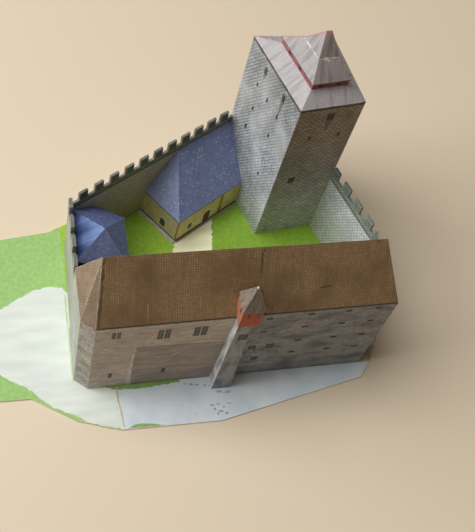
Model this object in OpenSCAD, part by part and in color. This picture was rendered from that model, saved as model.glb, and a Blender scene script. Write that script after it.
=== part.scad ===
// A small castle folded and glued from printed card: a keep on a trapezoid plan, a hall with a steep
// roof, a courtyard house, a gatehouse and crenellated walls round a courtyard, on a ground card.
// The origin is at the foot of the keep's front corner, on the underside of the ground card.
// X runs along the hall, Y runs from the hall to the keep and Z is up. All sizes are millimetres.

/* [Card] */
// Thickness of the card that walls are folded from
card_t = 0.6; // [0.3:0.1:1]
// Thickness of a roof sheet, measured straight down
roof_drop = 1.1; // [0.6:0.1:2]
// Thickness of the ground card
ground_t = 0.8; // [0.4:0.1:2]
// Thickness of the north and east curtain walls, two sheets glued back to back
curtain_t = 1.3; // [0.8:0.1:2]
// Thickness of the west curtain wall, which the gatehouse is glued to
west_wall_t = 2; // [1:0.1:3]

/* [Keep] */
// Width of the keep's front wall
keep_front_w = 34.7; // [28:0.1:40]
// Width of the keep's west wall
keep_west_w = 49; // [42:0.5:56]
// Width of the keep's north wall
keep_north_w = 42; // [36:0.5:48]
// Turn of the front wall from the hall's line
keep_front_turn = 6.6; // [0:0.1:12]
// Turn of the west wall from the hall's line
keep_west_turn = 110.3; // [104:0.1:116]
// Turn of the north wall from the hall's line
keep_north_turn = -3.4; // [-8:0.1:4]
// Height of the keep's walls above the ground card
keep_wall_h = 136; // [110:1:160]
// Level inset of the lower roof from the walls to the window band
skirt_inset = 8; // [5:0.1:9]
// Rise of the lower roof
skirt_rise = 5.8; // [3:0.1:9]
// Height of the window band between the two roofs
band_h = 4; // [2.5:0.1:6]
// Overhang of the upper roof past the window band
cap_overhang = 0.6; // [0.2:0.1:1.2]
// Rise of the upper roof from its eave to its short ridge
cap_rise = 24; // [16:0.5:32]
// Share of the upper roof's rise that lies below its bell-cast bend
cap_bend_rise = 0.42; // [0.3:0.01:0.5]
// Share of the upper roof's run that lies below its bell-cast bend
cap_bend_run = 0.55; // [0.5:0.01:0.65]
// Length of the short ridge on the upper roof
cap_ridge = 2.9; // [1:0.1:5]

/* [Curtain walls] */
// Turn of the north curtain wall from the hall's line
north_wall_turn = 28.2; // [26:0.1:31]
// Distance that the north curtain wall's foot stands out past its top
north_wall_lean = 2.2; // [0:0.1:3]
// Turn of the west curtain wall from the hall's line
west_wall_turn = 89; // [86:0.5:92]
// Distance that the west curtain wall's foot stands in from the hall's west wall
west_wall_in = 0.8; // [0:0.1:2]
// Turn of the east curtain wall from the hall's line, between the keep and its bend
east_wall_turn = 112; // [108:0.5:116]
// Length of the east curtain wall from the keep to its bend
east_wall_len = 42.5; // [38:0.5:46]
// Length of the east curtain wall's end that is glued to the keep's east wall
east_wall_tab = 3; // [1:0.5:6]
// Height of the curtain walls up to the wall walk
walk_h = 57; // [50:0.5:64]
// Height of the parapet from the wall walk to the sills of its gaps
sill_h = 5.2; // [3:0.1:7]
// Height of a merlon above the sills
merlon_h = 7.1; // [5:0.1:10]
// Width of a merlon on the north wall
merlon_w = 5.4; // [4:0.1:6.5]
// Distance from the keep to the first merlon on the north wall
merlon_start = 4; // [2:0.1:5]
// Spacing of the north wall's merlons next to the keep
merlon_pitch = 8.7; // [8:0.1:9.2]
// Growth of that spacing from one merlon to the next
merlon_growth = 0.15; // [0:0.01:0.2]
// Width of a merlon on the side walls
side_merlon_w = 6.6; // [5:0.1:8]
// Spacing of the side walls' merlons
side_merlon_pitch = 11.4; // [10:0.1:13]
// Distance from the hall to the first whole merlon on the west wall
west_merlon_start = 8.4; // [6:0.1:10]
// Distance that the east wall's first merlon reaches behind the keep's corner
east_merlon_behind = 1.6; // [0:0.1:3]

/* [Hall] */
// Distance from the keep's front corner to the hall's courtyard wall
court_depth = 54; // [48:0.5:62]
// Distance that the hall's east wall stands east of the keep's front corner
hall_east_out = 48; // [44:0.5:54]
// Length of the hall over its end walls
hall_len = 163; // [156:0.5:170]
// Depth of the hall at its west end
hall_depth = 34.1; // [30:0.1:38]
// Turn of the hall's front wall from its courtyard wall
hall_front_turn = 0.85; // [0:0.05:2]
// Length that the cut corner takes from the hall's front wall
corner_cut_x = 7; // [4:0.5:10]
// Length that the cut corner takes from the hall's west wall
corner_cut_y = 6; // [4:0.5:9]
// Height of the hall's walls above the ground card
hall_wall_h = 84.4; // [75:0.2:95]
// Rise of the hall's roof at the west end of its ridge
hall_roof_rise = 34.6; // [28:0.2:42]
// Distance that the ridge falls towards its east end
ridge_fall = 1.8; // [0:0.1:3]
// Level run of the front roof slope, from the front wall to the west end of the ridge
front_run = 22.8; // [20:0.2:25]
// Level run of the roof hip over the west wall
west_run = 10.6; // [8:0.2:14]
// Level run of the roof hip over the east wall
east_run = 10.3; // [9:0.1:15]

/* [Turret] */
// Distance from the hall's east wall to the turret box's east side
turret_from_east = 74.8; // [60:0.2:90]
// Width of the turret box
turret_w = 10.6; // [9:0.1:12]
// Depth of the turret box, front to back
turret_d = 10.4; // [9:0.1:12]
// Distance that the turret box stands out in front of the hall's wall
turret_out = 4.9; // [3:0.1:6]
// Height of the turret box above the hall's eaves
turret_h = 18.6; // [14:0.2:23]
// Rise of the turret's roof
turret_roof_rise = 18; // [12:0.5:24]
// Overhang of the turret's roof past its box
turret_overhang = 0.5; // [0:0.1:1]
// Width of the shaft at the ground
shaft_foot_w = 10.6; // [9:0.1:12]
// Width of the shaft under the turret box
shaft_head_w = 7.4; // [6:0.1:9]
// Distance that the shaft's foot stands out from the hall's wall
shaft_foot_out = 7.3; // [5:0.1:9]
// Distance that the shaft's foot starts west of the box
shaft_lean = 2; // [0:0.1:3]

/* [Courtyard house] */
// Length of the house's front wall
house_len = 47; // [42:0.5:54]
// Turn of the house's front wall from the hall's line
house_turn = 31.4; // [29:0.2:35]
// Turn of the house's side wall from the hall's line
house_side_turn = 128.5; // [120:0.5:132]
// Distance along the keep's west wall from its front corner to the house
house_from_keep_corner = 24.4; // [20:0.2:30]
// Height of the house's walls above the ground card
house_wall_h = 23; // [18:0.2:28]
// Distance that the top of the house's roof lies below the wall walk
house_top_drop = 1.3; // [1.1:0.1:6]
// Distance from the keep to the top of the house's hip, along the curtain wall
house_ridge_len = 37; // [28:0.5:42]
// Width of the kerb strip along the house's side wall
kerb_w = 2.2; // [1:0.1:4]
// Height of the kerb strip
kerb_h = 0.6; // [0.3:0.1:1.2]

/* [Gatehouse] */
// Width of the gatehouse, from the west curtain wall
gate_w = 29.4; // [24:0.2:32]
// Distance from the courtyard corner to the gatehouse's courtyard wall, along the west curtain wall
gate_len = 31.5; // [28:0.5:38]
// Distance that the gatehouse's north wall falls back at its east end
gate_skew = 8.2; // [5:0.2:10]
// Length of the gatehouse's north wall, measured along the hall's line
gate_north_len = 15.2; // [11:0.2:18]
// Height of the gatehouse's walls above the ground card
gate_wall_h = 42; // [36:0.5:48]
// Distance that the gatehouse's roof meets the west curtain wall below the wall walk
gate_lean_drop = 2; // [1.1:0.1:6]
// Height of the top of the gatehouse's roof above the ground card
gate_top_h = 70; // [64:0.5:78]
// Distance from the west curtain wall to the top of the gatehouse's roof
gate_top_out = 15.1; // [12:0.1:18]
// Distance from the courtyard corner to the top of the gatehouse's roof, along the west curtain wall
gate_top_along = 20.3; // [14:0.1:24]

/* [Ground card] */
// Distance that the ground card shows past the west curtain wall
ground_west = 52; // [30:1:60]
// Margin of the ground card behind the north and east walls
ground_margin = 7; // [4:0.5:12]
// Distance that the ground card shows in front of the hall
ground_front = 25; // [18:0.5:32]
// Distance from the hall's west wall to the joint between the two sheets
seam_from_west = 23; // [16:0.5:34]
// Distance that the card's west end reaches in front of the hall's front wall
west_end_front = 3; // [0:0.5:8]
// Length of the card's west end before its front edge slants out
west_end_len = 28; // [18:1:40]
// Width of the slant between the west end and the straight front edge
front_slant = 7; // [3:0.5:10]
// Distance that the card's far corner stands out past the curtain walls' corner
north_corner_out = 17; // [10:1:24]
// Distance that the card reaches behind the keep's front corner at its west end
west_end_back = 4; // [0:1:12]
// Length of the front edge that is cut off slantwise at its east end
east_slant_len = 84; // [60:2:100]
// Distance that the card shows in front of the hall's east end
east_end_front = 9; // [4:0.5:14]
// Extra margin of the card beside the hall's east wall
east_bulge = 7; // [0:0.5:12]

/* [Hidden] */

ground_z = ground_t;

// Plan geometry: directions, offsets and crossings of lines

function toward(turn) = [cos(turn), sin(turn)];
function unit(v) = v / norm(v);
function side_of(u) = [-u[1], u[0]];
function cross2(u, v) = u[0] * v[1] - u[1] * v[0];
function meet(p, u, q, v) = p + u * cross2(q - p, v) / cross2(u, v);
function at(p, z) = [p[0], p[1], z];
function mix(a, b, share) = a + (b - a) * share;

// A plan that runs anticlockwise, moved inwards by d on every side
function inset(plan, d) = let (n = len(plan)) [for (i = [0 : n - 1])
    let (u = unit(plan[i] - plan[(i + n - 1) % n]), v = unit(plan[(i + 1) % n] - plan[i]))
    meet(plan[i] + d * side_of(u), u, plan[i] + d * side_of(v), v)];

// The keep's plan, anticlockwise from its front corner
keep_front = [0, 0];
keep_right = keep_front + keep_front_w * toward(keep_front_turn);
keep_left = keep_front + keep_west_w * toward(keep_west_turn);
keep_back = keep_left + keep_north_w * toward(keep_north_turn);
keep_plan = [keep_front, keep_right, keep_back, keep_left];
keep_top_z = ground_z + keep_wall_h;
band_plan = inset(keep_plan, skirt_inset);
band_z = keep_top_z + skirt_rise;
cap_z = band_z + band_h;
cap_plan = inset(keep_plan, skirt_inset - cap_overhang);
cap_middle = (cap_plan[0] + cap_plan[1] + cap_plan[2] + cap_plan[3]) / 4;

// The hall's plan, anticlockwise from the west end of its front wall
hall_east_x = hall_east_out;
hall_west_x = hall_east_x - hall_len;
hall_back_y = -court_depth;
hall_front_y = hall_back_y - hall_depth;
function front_y(x) = hall_front_y + (x - hall_west_x) * tan(hall_front_turn);
hall_cut_x = hall_west_x + corner_cut_x;
hall_plan = [[hall_cut_x, front_y(hall_cut_x)], [hall_east_x, front_y(hall_east_x)],
    [hall_east_x, hall_back_y], [hall_west_x, hall_back_y], [hall_west_x, hall_front_y + corner_cut_y]];
hall_inside = inset(hall_plan, card_t);
hall_eave_z = ground_z + hall_wall_h;
ridge_z = hall_eave_z + hall_roof_rise;

// A point of the ridge over x, as far up the flat front slope as the ridge is high there
function ridge_point(x, fall) = [x, front_y(x) + front_run * (1 - fall / hall_roof_rise), ridge_z - fall];
ridge_west = ridge_point(hall_west_x + west_run, 0);
ridge_east = ridge_point(hall_east_x - east_run, ridge_fall);

// The curtain walls
walk_z = ground_z + walk_h;
sill_z = walk_z + sill_h;
merlon_z = sill_z + merlon_h;
keep_west_line = keep_left - keep_front;
north_dir = toward(north_wall_turn);
north_out = side_of(north_dir);
west_dir = toward(west_wall_turn);
west_foot_out = [hall_west_x + west_wall_in, hall_back_y];
west_foot_in = meet(west_foot_out - west_wall_t * side_of(west_dir), west_dir, west_foot_out, [1, 0]);
corner_out = meet(keep_left, north_dir, west_foot_out, west_dir);

// The north wall leans, so its faces and corners depend on the height h above the ground card
function lean(h) = north_wall_lean * (1 - min(h, walk_h) / walk_h);
function north_face(h) = keep_left + (lean(h) - curtain_t) * north_out;
function outer_corner(h) = meet(keep_left + lean(h) * north_out, north_dir, west_foot_out, west_dir);
function inner_corner(h) = meet(north_face(h), north_dir, west_foot_in, west_dir);
function keep_end_out(h) = meet(keep_left + lean(h) * north_out, north_dir, keep_front, keep_west_line);
function keep_end_in(h) = meet(north_face(h), north_dir, keep_front, keep_west_line);
function north_plan(h) = [outer_corner(h), inner_corner(h), keep_end_in(h), keep_end_out(h)];
function west_plan(h) = [west_foot_out, west_foot_in, inner_corner(h), outer_corner(h)];

// The east wall starts as a tab on the keep's east wall and bends on its way to the hall's corner
east_dir = toward(east_wall_turn);
east_out = -side_of(east_dir);
east_foot_out = [hall_east_x, hall_back_y];
east_tab = keep_right + east_wall_tab * unit(keep_back - keep_right);
east_bend_in = keep_right - east_wall_len * east_dir;
east_bend_out = east_bend_in + curtain_t * east_out;
east_end_dir = unit(east_bend_out - east_foot_out);
east_end_out = -side_of(east_end_dir);
east_start_out = meet(keep_right + curtain_t * east_out, east_dir, east_tab, east_out);
east_foot_in = meet(east_foot_out - curtain_t * east_end_out, east_end_dir, east_foot_out, [1, 0]);
east_bend_corner = meet(east_foot_in, east_end_dir, keep_right, east_dir);
east_plan = [east_foot_out, east_bend_out, east_start_out, east_tab,
    keep_right, east_bend_corner, east_foot_in];

// The courtyard house stands in the corner of the keep and the north curtain wall
house_right = keep_front + house_from_keep_corner * toward(keep_west_turn);
house_front = house_right - house_len * toward(house_turn);
house_side_dir = toward(house_side_turn);
function house_left(h) = meet(house_front, house_side_dir, north_face(h), north_dir);
house_eave_z = ground_z + house_wall_h;
house_top_z = walk_z - house_top_drop;
house_ridge_end = keep_end_in(walk_h);
house_hip_top = house_ridge_end - house_ridge_len * north_dir;

// The gatehouse stands in the corner of the west and north curtain walls
yard_corner = inner_corner(gate_wall_h);
gate_south_y = yard_corner[1] - gate_len;
gate_east_x = yard_corner[0] + gate_w;
gate_west_foot = meet(yard_corner, west_dir, [0, gate_south_y], [1, 0]);
gate_north_dir = unit([gate_north_len, -gate_skew]);
gate_north_start = meet(yard_corner, north_dir, [gate_east_x - gate_north_len, 0], [0, 1]);
gate_north_end = gate_north_start + [gate_north_len, -gate_skew];
gate_south_end = [gate_east_x, gate_south_y];
gate_eave_z = ground_z + gate_wall_h;
gate_lean_h = walk_h - gate_lean_drop;
gate_top = yard_corner + [gate_top_out, -gate_top_along];

// Building blocks

// An upright sheet on a plan outline
module upright(plan, z0, z1) {
    translate([0, 0, z0]) linear_extrude(z1 - z0) polygon(plan);
}

// A wall that leans, between a foot outline and a head outline that both run anticlockwise
module leaning(foot, head, z0, z1) {
    n = len(foot);
    polyhedron(points = concat([for (p = foot) at(p, z0)], [for (p = head) at(p, z1)]), faces = concat(
        [for (i = [1 : n - 2]) [0, i, i + 1]],
        [for (i = [1 : n - 2]) [n, n + i + 1, n + i]],
        [for (i = [0 : n - 1]) [i, n + i, n + (i + 1) % n, (i + 1) % n]]));
}

// One side of a closed ring of card walls, mitred at its corners
module ring_side(plan, inside, i, z0, z1) {
    j = (i + 1) % len(plan);
    upright([plan[i], plan[j], inside[j], inside[i]], z0, z1);
}

// A flat roof sheet: its top outline, and the same outline lowered straight down
module sheet(top, drop) {
    n = len(top);
    under = [for (p = top) p - [0, 0, drop]];
    polyhedron(points = concat(top, under), faces = concat(
        [for (i = [1 : n - 2]) [0, i + 1, i]],
        [for (i = [1 : n - 2]) [n, n + i, n + i + 1]],
        [for (i = [0 : n - 1]) [i, (i + 1) % n, n + (i + 1) % n, n + i]]));
}

// Merlons of width w at the given distances along a wall face that starts at p and runs along u.
// They stand between p and the wall's length, and reach t to the right of u.
module merlons(p, u, length, places, w, t) {
    back = -t * side_of(u);
    for (s = places) {
        a = p + max(0, s) * u;
        b = p + min(length, s + w) * u;
        upright([a, a + back, b + back, b], sill_z, merlon_z);
    }
}

// Ground

ground_west_x = hall_west_x - ground_west;
ground_south_y = hall_front_y - ground_front;
seam_x = hall_west_x + seam_from_west;
hall_front_east = hall_plan[1];
ground_east = hall_front_east + [ground_margin, 0];
ground_east_bulge = [ground_east[0] + east_bulge, hall_back_y - hall_depth / 2];
ground_west_front = [ground_west_x, hall_front_y - west_end_front];
module ground_card() color("#8fc466")
    upright([ground_west_front, ground_west_front + [west_end_len, 0],
        [hall_west_x, ground_south_y + front_slant], [seam_x, ground_south_y], [seam_x, front_y(seam_x)],
        ground_east, ground_east_bulge,
        keep_right + [ground_margin + curtain_t + east_wall_tab, 0],
        keep_back + [ground_margin, ground_margin], keep_left + [0, ground_margin + north_wall_lean],
        corner_out + north_corner_out * north_out,
        [ground_west_x, keep_front[1] + west_end_back]], 0, ground_z);
module ground_card_front() color("#d9e4e2")
    upright([[seam_x, ground_south_y], [hall_east_x - east_slant_len, ground_south_y],
        hall_front_east + [0, -east_end_front], ground_east, [seam_x, front_y(seam_x)]], 0, ground_z);

// Keep

keep_inside = inset(keep_plan, card_t);
module keep_front_wall() color("#6a6350") ring_side(keep_plan, keep_inside, 0, ground_z, keep_top_z);
module keep_east_wall() color("#777466") ring_side(keep_plan, keep_inside, 1, ground_z, keep_top_z);
module keep_north_wall() color("#8b9093") ring_side(keep_plan, keep_inside, 2, ground_z, keep_top_z);
module keep_west_wall() color("#b4bcc4") ring_side(keep_plan, keep_inside, 3, ground_z, keep_top_z);

module keep_lower_roof() color("#b9b3b4") for (i = [0 : 3]) {
    j = (i + 1) % 4;
    sheet([at(keep_plan[i], keep_top_z + roof_drop), at(keep_plan[j], keep_top_z + roof_drop),
        at(band_plan[j], band_z + roof_drop), at(band_plan[i], band_z + roof_drop)], roof_drop);
}

band_inside = inset(band_plan, card_t);
module keep_window_band() color("#8e2f33") difference() {
    upright(band_plan, band_z + roof_drop, cap_z + roof_drop);
    upright(band_inside, band_z, cap_z + 2 * roof_drop);
}

cap_eave_z = cap_z + 2 * roof_drop;
cap_bend_z = cap_eave_z + cap_rise * cap_bend_rise;
cap_top_z = cap_eave_z + cap_rise;
cap_ends = [cap_middle - [cap_ridge / 2, 0], cap_middle + [cap_ridge / 2, 0]];
function cap_end(i) = i == 0 || i == 3 ? cap_ends[0] : cap_ends[1];
module keep_upper_roof() color("#aaa5a8") for (i = [0 : 3]) {
    j = (i + 1) % 4;
    bend_i = at(mix(cap_plan[i], cap_end(i), cap_bend_run), cap_bend_z);
    bend_j = at(mix(cap_plan[j], cap_end(j), cap_bend_run), cap_bend_z);
    sheet([at(cap_plan[i], cap_eave_z), at(cap_plan[j], cap_eave_z), bend_j, bend_i], roof_drop);
    if (cap_end(i) == cap_end(j)) sheet([bend_i, bend_j, at(cap_end(i), cap_top_z)], roof_drop);
    else sheet([bend_i, bend_j, at(cap_end(j), cap_top_z), at(cap_end(i), cap_top_z)], roof_drop);
}

// Curtain walls

module north_curtain_wall() color("#5d5b4c") leaning(north_plan(0), north_plan(walk_h), ground_z, walk_z);
module west_curtain_wall() color("#9da79f") leaning(west_plan(0), west_plan(walk_h), ground_z, walk_z);
module east_curtain_wall() color("#b3b8b2") upright(east_plan, ground_z, walk_z);

north_len = norm(keep_left - corner_out);
north_places = [for (i = [0 : 10])
    north_len - merlon_start - merlon_w - i * merlon_pitch - i * (i - 1) / 2 * merlon_growth];
module north_parapet() color("#77786c") {
    upright(north_plan(walk_h), walk_z, sill_z);
    merlons(corner_out, north_dir, north_len, north_places, merlon_w, curtain_t);
}

west_len = norm(corner_out - west_foot_out);
west_places = [for (i = [-1 : 3]) west_merlon_start + i * side_merlon_pitch];
module west_parapet() color("#a4aca8") {
    upright(west_plan(walk_h), walk_z, sill_z);
    merlons(west_foot_out, west_dir, west_len, west_places, side_merlon_w, west_wall_t);
}

// The east wall's merlons are spaced from the keep; the last one stands past the bend
east_places = [for (i = [0 : 3]) i * side_merlon_pitch - east_merlon_behind];
east_end_len = norm(east_bend_out - east_foot_out);
east_last = 4 * side_merlon_pitch - east_merlon_behind - east_wall_len;
module east_parapet() color("#a9aeaa") {
    upright(east_plan, walk_z, sill_z);
    merlons(keep_right, -east_dir, east_wall_len, east_places, side_merlon_w, -curtain_t);
    merlons(east_bend_out, -east_end_dir, east_end_len, [east_last], side_merlon_w, curtain_t);
}

// Hall

turret_east_x = hall_east_x - turret_from_east;
turret_west_x = turret_east_x - turret_w;
turret_middle_x = (turret_west_x + turret_east_x) / 2;

// All that lies in front of the hall's middle, from x to hall_len further east
module front_part(x) {
    translate([x, hall_front_y - 1, 0]) cube([hall_len, hall_depth / 2, ridge_z]);
}
module hall_front_wall_left() color("#8d8172") difference() {
    ring_side(hall_plan, hall_inside, 0, ground_z, hall_eave_z);
    front_part(turret_middle_x);
}
module hall_front_wall_right() color("#77757a") difference() {
    ring_side(hall_plan, hall_inside, 0, ground_z, hall_eave_z);
    front_part(turret_middle_x - hall_len);
}
module hall_east_wall() color("#77757a") ring_side(hall_plan, hall_inside, 1, ground_z, hall_eave_z);
module hall_back_wall() color("#8a8984") ring_side(hall_plan, hall_inside, 2, ground_z, hall_eave_z);
module hall_west_wall() color("#9da79f") ring_side(hall_plan, hall_inside, 3, ground_z, hall_eave_z);
module hall_corner_wall() color("#938b7f") ring_side(hall_plan, hall_inside, 4, ground_z, hall_eave_z);

hall_eaves = [for (p = hall_plan) at(p, hall_eave_z + roof_drop)];
ridge_a = ridge_west + [0, 0, roof_drop];
ridge_b = ridge_east + [0, 0, roof_drop];
module hall_roof_front() color("#6b5138") difference() {
    sheet([hall_eaves[0], hall_eaves[1], ridge_b, ridge_a], roof_drop);
    turret_clear();
}
module hall_roof_east_hip() color("#6b5138") sheet([hall_eaves[1], hall_eaves[2], ridge_b], roof_drop);
module hall_roof_back() color("#6b5138") sheet([hall_eaves[2], hall_eaves[3], ridge_a, ridge_b], roof_drop);
module hall_roof_west_hip() color("#8a6f55") sheet([hall_eaves[3], hall_eaves[4], ridge_a], roof_drop);
module hall_roof_corner_hip() color("#84694f") sheet([hall_eaves[4], hall_eaves[0], ridge_a], roof_drop);

// Turret

turret_front_y = front_y(turret_middle_x) - turret_out;
turret_back_y = turret_front_y + turret_d;
turret_top_z = hall_eave_z + turret_h;
turret_plan = [[turret_west_x, turret_front_y], [turret_east_x, turret_front_y],
    [turret_east_x, turret_back_y], [turret_west_x, turret_back_y]];

// The space that the turret box takes out of the roof
module turret_clear() upright(turret_plan, hall_eave_z - 1, ridge_z);

// The shaft is a three-sided tapering tube against the hall's front wall
shaft_foot_x = turret_west_x - shaft_lean;

// Three sides of the shaft at one level: west back, west front, east front and east back corners
function shaft_ring(x, w, out, z) =
    [[x, front_y(x), z], [x, front_y(x) - out, z],
    [x + w, front_y(x + w) - out, z], [x + w, front_y(x + w), z]];
shaft_foot = shaft_ring(shaft_foot_x, shaft_foot_w, shaft_foot_out, ground_z);
shaft_head = shaft_ring(turret_west_x, shaft_head_w, turret_out, hall_eave_z);
foot_inside = shaft_ring(shaft_foot_x + card_t, shaft_foot_w - 2 * card_t, shaft_foot_out - card_t, ground_z);
head_inside = shaft_ring(turret_west_x + card_t, shaft_head_w - 2 * card_t, turret_out - card_t, hall_eave_z);

// One side of the shaft, between two corners of its foot and head
module shaft_side(i) {
    j = i + 1;
    ring = [shaft_foot[i], shaft_foot[j], foot_inside[j], foot_inside[i],
        shaft_head[i], shaft_head[j], head_inside[j], head_inside[i]];
    polyhedron(points = ring, faces = [[0, 1, 2], [0, 2, 3], [6, 5, 4], [7, 6, 4], [0, 4, 5], [0, 5, 1],
        [1, 5, 6], [1, 6, 2], [2, 6, 7], [2, 7, 3], [3, 7, 4], [3, 4, 0]]);
}
module turret_shaft() color("#a39e96") for (i = [0 : 2]) shaft_side(i);

turret_inside = inset(turret_plan, card_t);
module turret_box() color("#b5532c") difference() {
    upright(turret_plan, hall_eave_z, turret_top_z);
    upright(turret_inside, hall_eave_z + card_t, turret_top_z + 1);
    hall_under_roof();
}

// Everything under the hall's front roof slope, down past the foot of the turret box
module hall_under_roof() {
    translate([0, 0, -roof_drop])
        sheet([hall_eaves[0], hall_eaves[1], ridge_b, ridge_a], hall_roof_rise);
}

turret_eave_z = turret_top_z + roof_drop;
turret_roof_plan = inset(turret_plan, -turret_overhang);
turret_apex = [turret_middle_x, (turret_front_y + turret_back_y) / 2, turret_eave_z + turret_roof_rise];
module turret_roof() color("#9a8f85") for (i = [0 : 3])
    sheet([at(turret_roof_plan[i], turret_eave_z), at(turret_roof_plan[(i + 1) % 4], turret_eave_z),
        turret_apex], roof_drop);

// Courtyard house

house_dir = toward(house_turn);
house_front_in = house_front + card_t * side_of(house_dir);
house_side_in = house_front - card_t * side_of(house_side_dir);
house_in = meet(house_front_in, house_dir, house_side_in, house_side_dir);
function house_side_plan(h) =
    [house_left(h), house_front, house_in, meet(house_in, house_side_dir, north_face(h), north_dir)];
module house_front_wall() color("#b98f2f")
    upright([house_front, house_right, meet(house_front_in, house_dir, keep_front, keep_west_line), house_in],
        ground_z, house_eave_z);
module house_side_wall() color("#c49c3e")
    leaning(house_side_plan(0), house_side_plan(house_wall_h), ground_z, house_eave_z);
house_eave_top = house_eave_z + roof_drop;
house_ridge_top = house_top_z + roof_drop;
house_eave_left = at(house_left(house_wall_h + roof_drop), house_eave_top);
module house_roof_main() color("#4a5685")
    sheet([at(house_hip_top, house_ridge_top), at(house_front, house_eave_top),
        at(house_right, house_eave_top), at(house_ridge_end, house_ridge_top)], roof_drop);
module house_roof_hip() color("#51608f")
    sheet([house_eave_left, at(house_front, house_eave_top), at(house_hip_top, house_ridge_top)], roof_drop);
house_kerb_foot = house_front + kerb_w * side_of(house_side_dir);
module house_kerb() color("#a9aaa6")
    upright([house_front, house_left(0), meet(house_kerb_foot, house_side_dir, north_face(0), north_dir),
        house_kerb_foot], ground_z, ground_z + kerb_h);

// Gatehouse

// The end of the gatehouse's north wall, where it butts on the east wall
function gate_butt(p) = meet(p, gate_north_dir, gate_north_end - [card_t, 0], [0, 1]);
gate_north_in = gate_north_end - [0, card_t];
function gate_north_plan(h) = [meet(gate_north_in, gate_north_dir, north_face(h), north_dir),
    gate_butt(gate_north_in), gate_butt(gate_north_end),
    meet(gate_north_end, gate_north_dir, north_face(h), north_dir)];
module gatehouse_north_wall() color("#a9aaa0")
    leaning(gate_north_plan(0), gate_north_plan(gate_wall_h), ground_z, gate_eave_z);
module gatehouse_east_wall() color("#a9aaa0")
    upright([gate_north_end, gate_north_end - [card_t, 0], gate_south_end - [card_t, 0], gate_south_end],
        ground_z, gate_eave_z);
module gatehouse_south_wall() color("#a9aaa0")
    upright([gate_south_end - [card_t, 0], gate_south_end + [-card_t, card_t],
        meet(gate_west_foot + [0, card_t], [1, 0], yard_corner, west_dir), gate_west_foot],
        ground_z, gate_eave_z);

gate_nw = at(inner_corner(gate_lean_h), ground_z + gate_lean_h + roof_drop);
gate_sw = at(gate_west_foot, ground_z + gate_lean_h + roof_drop);
gate_n = at(gate_north_start, gate_eave_z + roof_drop);
gate_ne = at(gate_north_end, gate_eave_z + roof_drop);
gate_se = at(gate_south_end, gate_eave_z + roof_drop);
gate_apex = at(gate_top, ground_z + gate_top_h + roof_drop);
module gatehouse_roof_west() color("#4a66b0") sheet([gate_nw, gate_sw, gate_apex], roof_drop);
module gatehouse_roof_north() color("#43507f") {
    sheet([gate_n, gate_nw, gate_apex], roof_drop);
    sheet([gate_ne, gate_n, gate_apex], roof_drop);
}
module gatehouse_roof_east() color("#434a72") sheet([gate_se, gate_ne, gate_apex], roof_drop);
module gatehouse_roof_south() color("#434a72") sheet([gate_sw, gate_se, gate_apex], roof_drop);

ground_card();
ground_card_front();
keep_front_wall();
keep_east_wall();
keep_north_wall();
keep_west_wall();
keep_lower_roof();
keep_window_band();
keep_upper_roof();
north_curtain_wall();
west_curtain_wall();
east_curtain_wall();
north_parapet();
west_parapet();
east_parapet();
hall_front_wall_left();
hall_front_wall_right();
hall_corner_wall();
hall_west_wall();
hall_back_wall();
hall_east_wall();
hall_roof_front();
hall_roof_back();
hall_roof_west_hip();
hall_roof_corner_hip();
hall_roof_east_hip();
turret_shaft();
turret_box();
turret_roof();
house_front_wall();
house_side_wall();
house_roof_main();
house_roof_hip();
house_kerb();
gatehouse_north_wall();
gatehouse_east_wall();
gatehouse_south_wall();
gatehouse_roof_west();
gatehouse_roof_north();
gatehouse_roof_east();
gatehouse_roof_south();
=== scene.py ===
# %% [markdown]
# # A card model of a castle
# This lesson dresses a small castle that someone cut out of printed card, folded and glued. The CAD
# part gives every wall and roof its true place. This script adds what the printing press, the
# scissors and the fingers left on them.

import math
import random
from collections import namedtuple

import bmesh
import bpy
from mathutils import Matrix, Vector


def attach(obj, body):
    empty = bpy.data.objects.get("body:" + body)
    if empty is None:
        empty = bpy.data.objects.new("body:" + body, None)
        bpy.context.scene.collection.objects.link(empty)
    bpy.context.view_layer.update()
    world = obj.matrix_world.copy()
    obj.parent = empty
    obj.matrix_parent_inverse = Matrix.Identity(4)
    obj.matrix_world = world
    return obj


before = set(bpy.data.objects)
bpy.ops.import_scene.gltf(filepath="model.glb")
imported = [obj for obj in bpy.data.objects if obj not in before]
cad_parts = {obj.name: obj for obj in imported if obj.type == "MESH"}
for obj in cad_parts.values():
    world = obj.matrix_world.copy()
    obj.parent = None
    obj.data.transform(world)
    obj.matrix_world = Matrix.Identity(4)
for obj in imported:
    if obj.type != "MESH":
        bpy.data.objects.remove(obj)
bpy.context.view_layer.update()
MM = 0.001

# %% [markdown]
# ## The camera
# The photograph was taken by hand from above the hall's side, with the camera tipped down by some
# 63 degrees and rolled a little. The lens and the place below put every corner of the model where
# the photograph has it.

# %% Make the camera
CAMERA_PLACE = Vector((-161.19, -313.17, 649.24)) * MM
CAMERA_TURN = (25.377, -9.073, -8.382)
CAMERA_LENS = 83.66

camera_data = bpy.data.cameras.new("camera")
camera_data.lens = CAMERA_LENS
camera_data.sensor_width = 36
camera_data.clip_start = 0.01
camera = bpy.data.objects.new("camera", camera_data)
camera.location = CAMERA_PLACE
camera.rotation_euler = [math.radians(turn) for turn in CAMERA_TURN]
bpy.context.scene.collection.objects.link(camera)
bpy.context.scene.camera = camera
print("camera", round(CAMERA_PLACE.length / MM), "mm from the keep's foot")

# %% [markdown]
# ## Colours and shader nodes
# Inks are written as the hex codes that a printer would note. Blender mixes light in linear
# numbers, so one function turns a code into them. A second one adds any shader node with its
# settings and links, which keeps the materials below short enough to read.

# %% Two helpers for materials
def colour(code):
    """The linear colour of an sRGB hex code."""
    parts = [int(code[i : i + 2], 16) / 255 for i in (1, 3, 5)]
    return [c / 12.92 if c <= 0.04045 else ((c + 0.055) / 1.055) ** 2.4 for c in parts] + [1.0]


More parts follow.
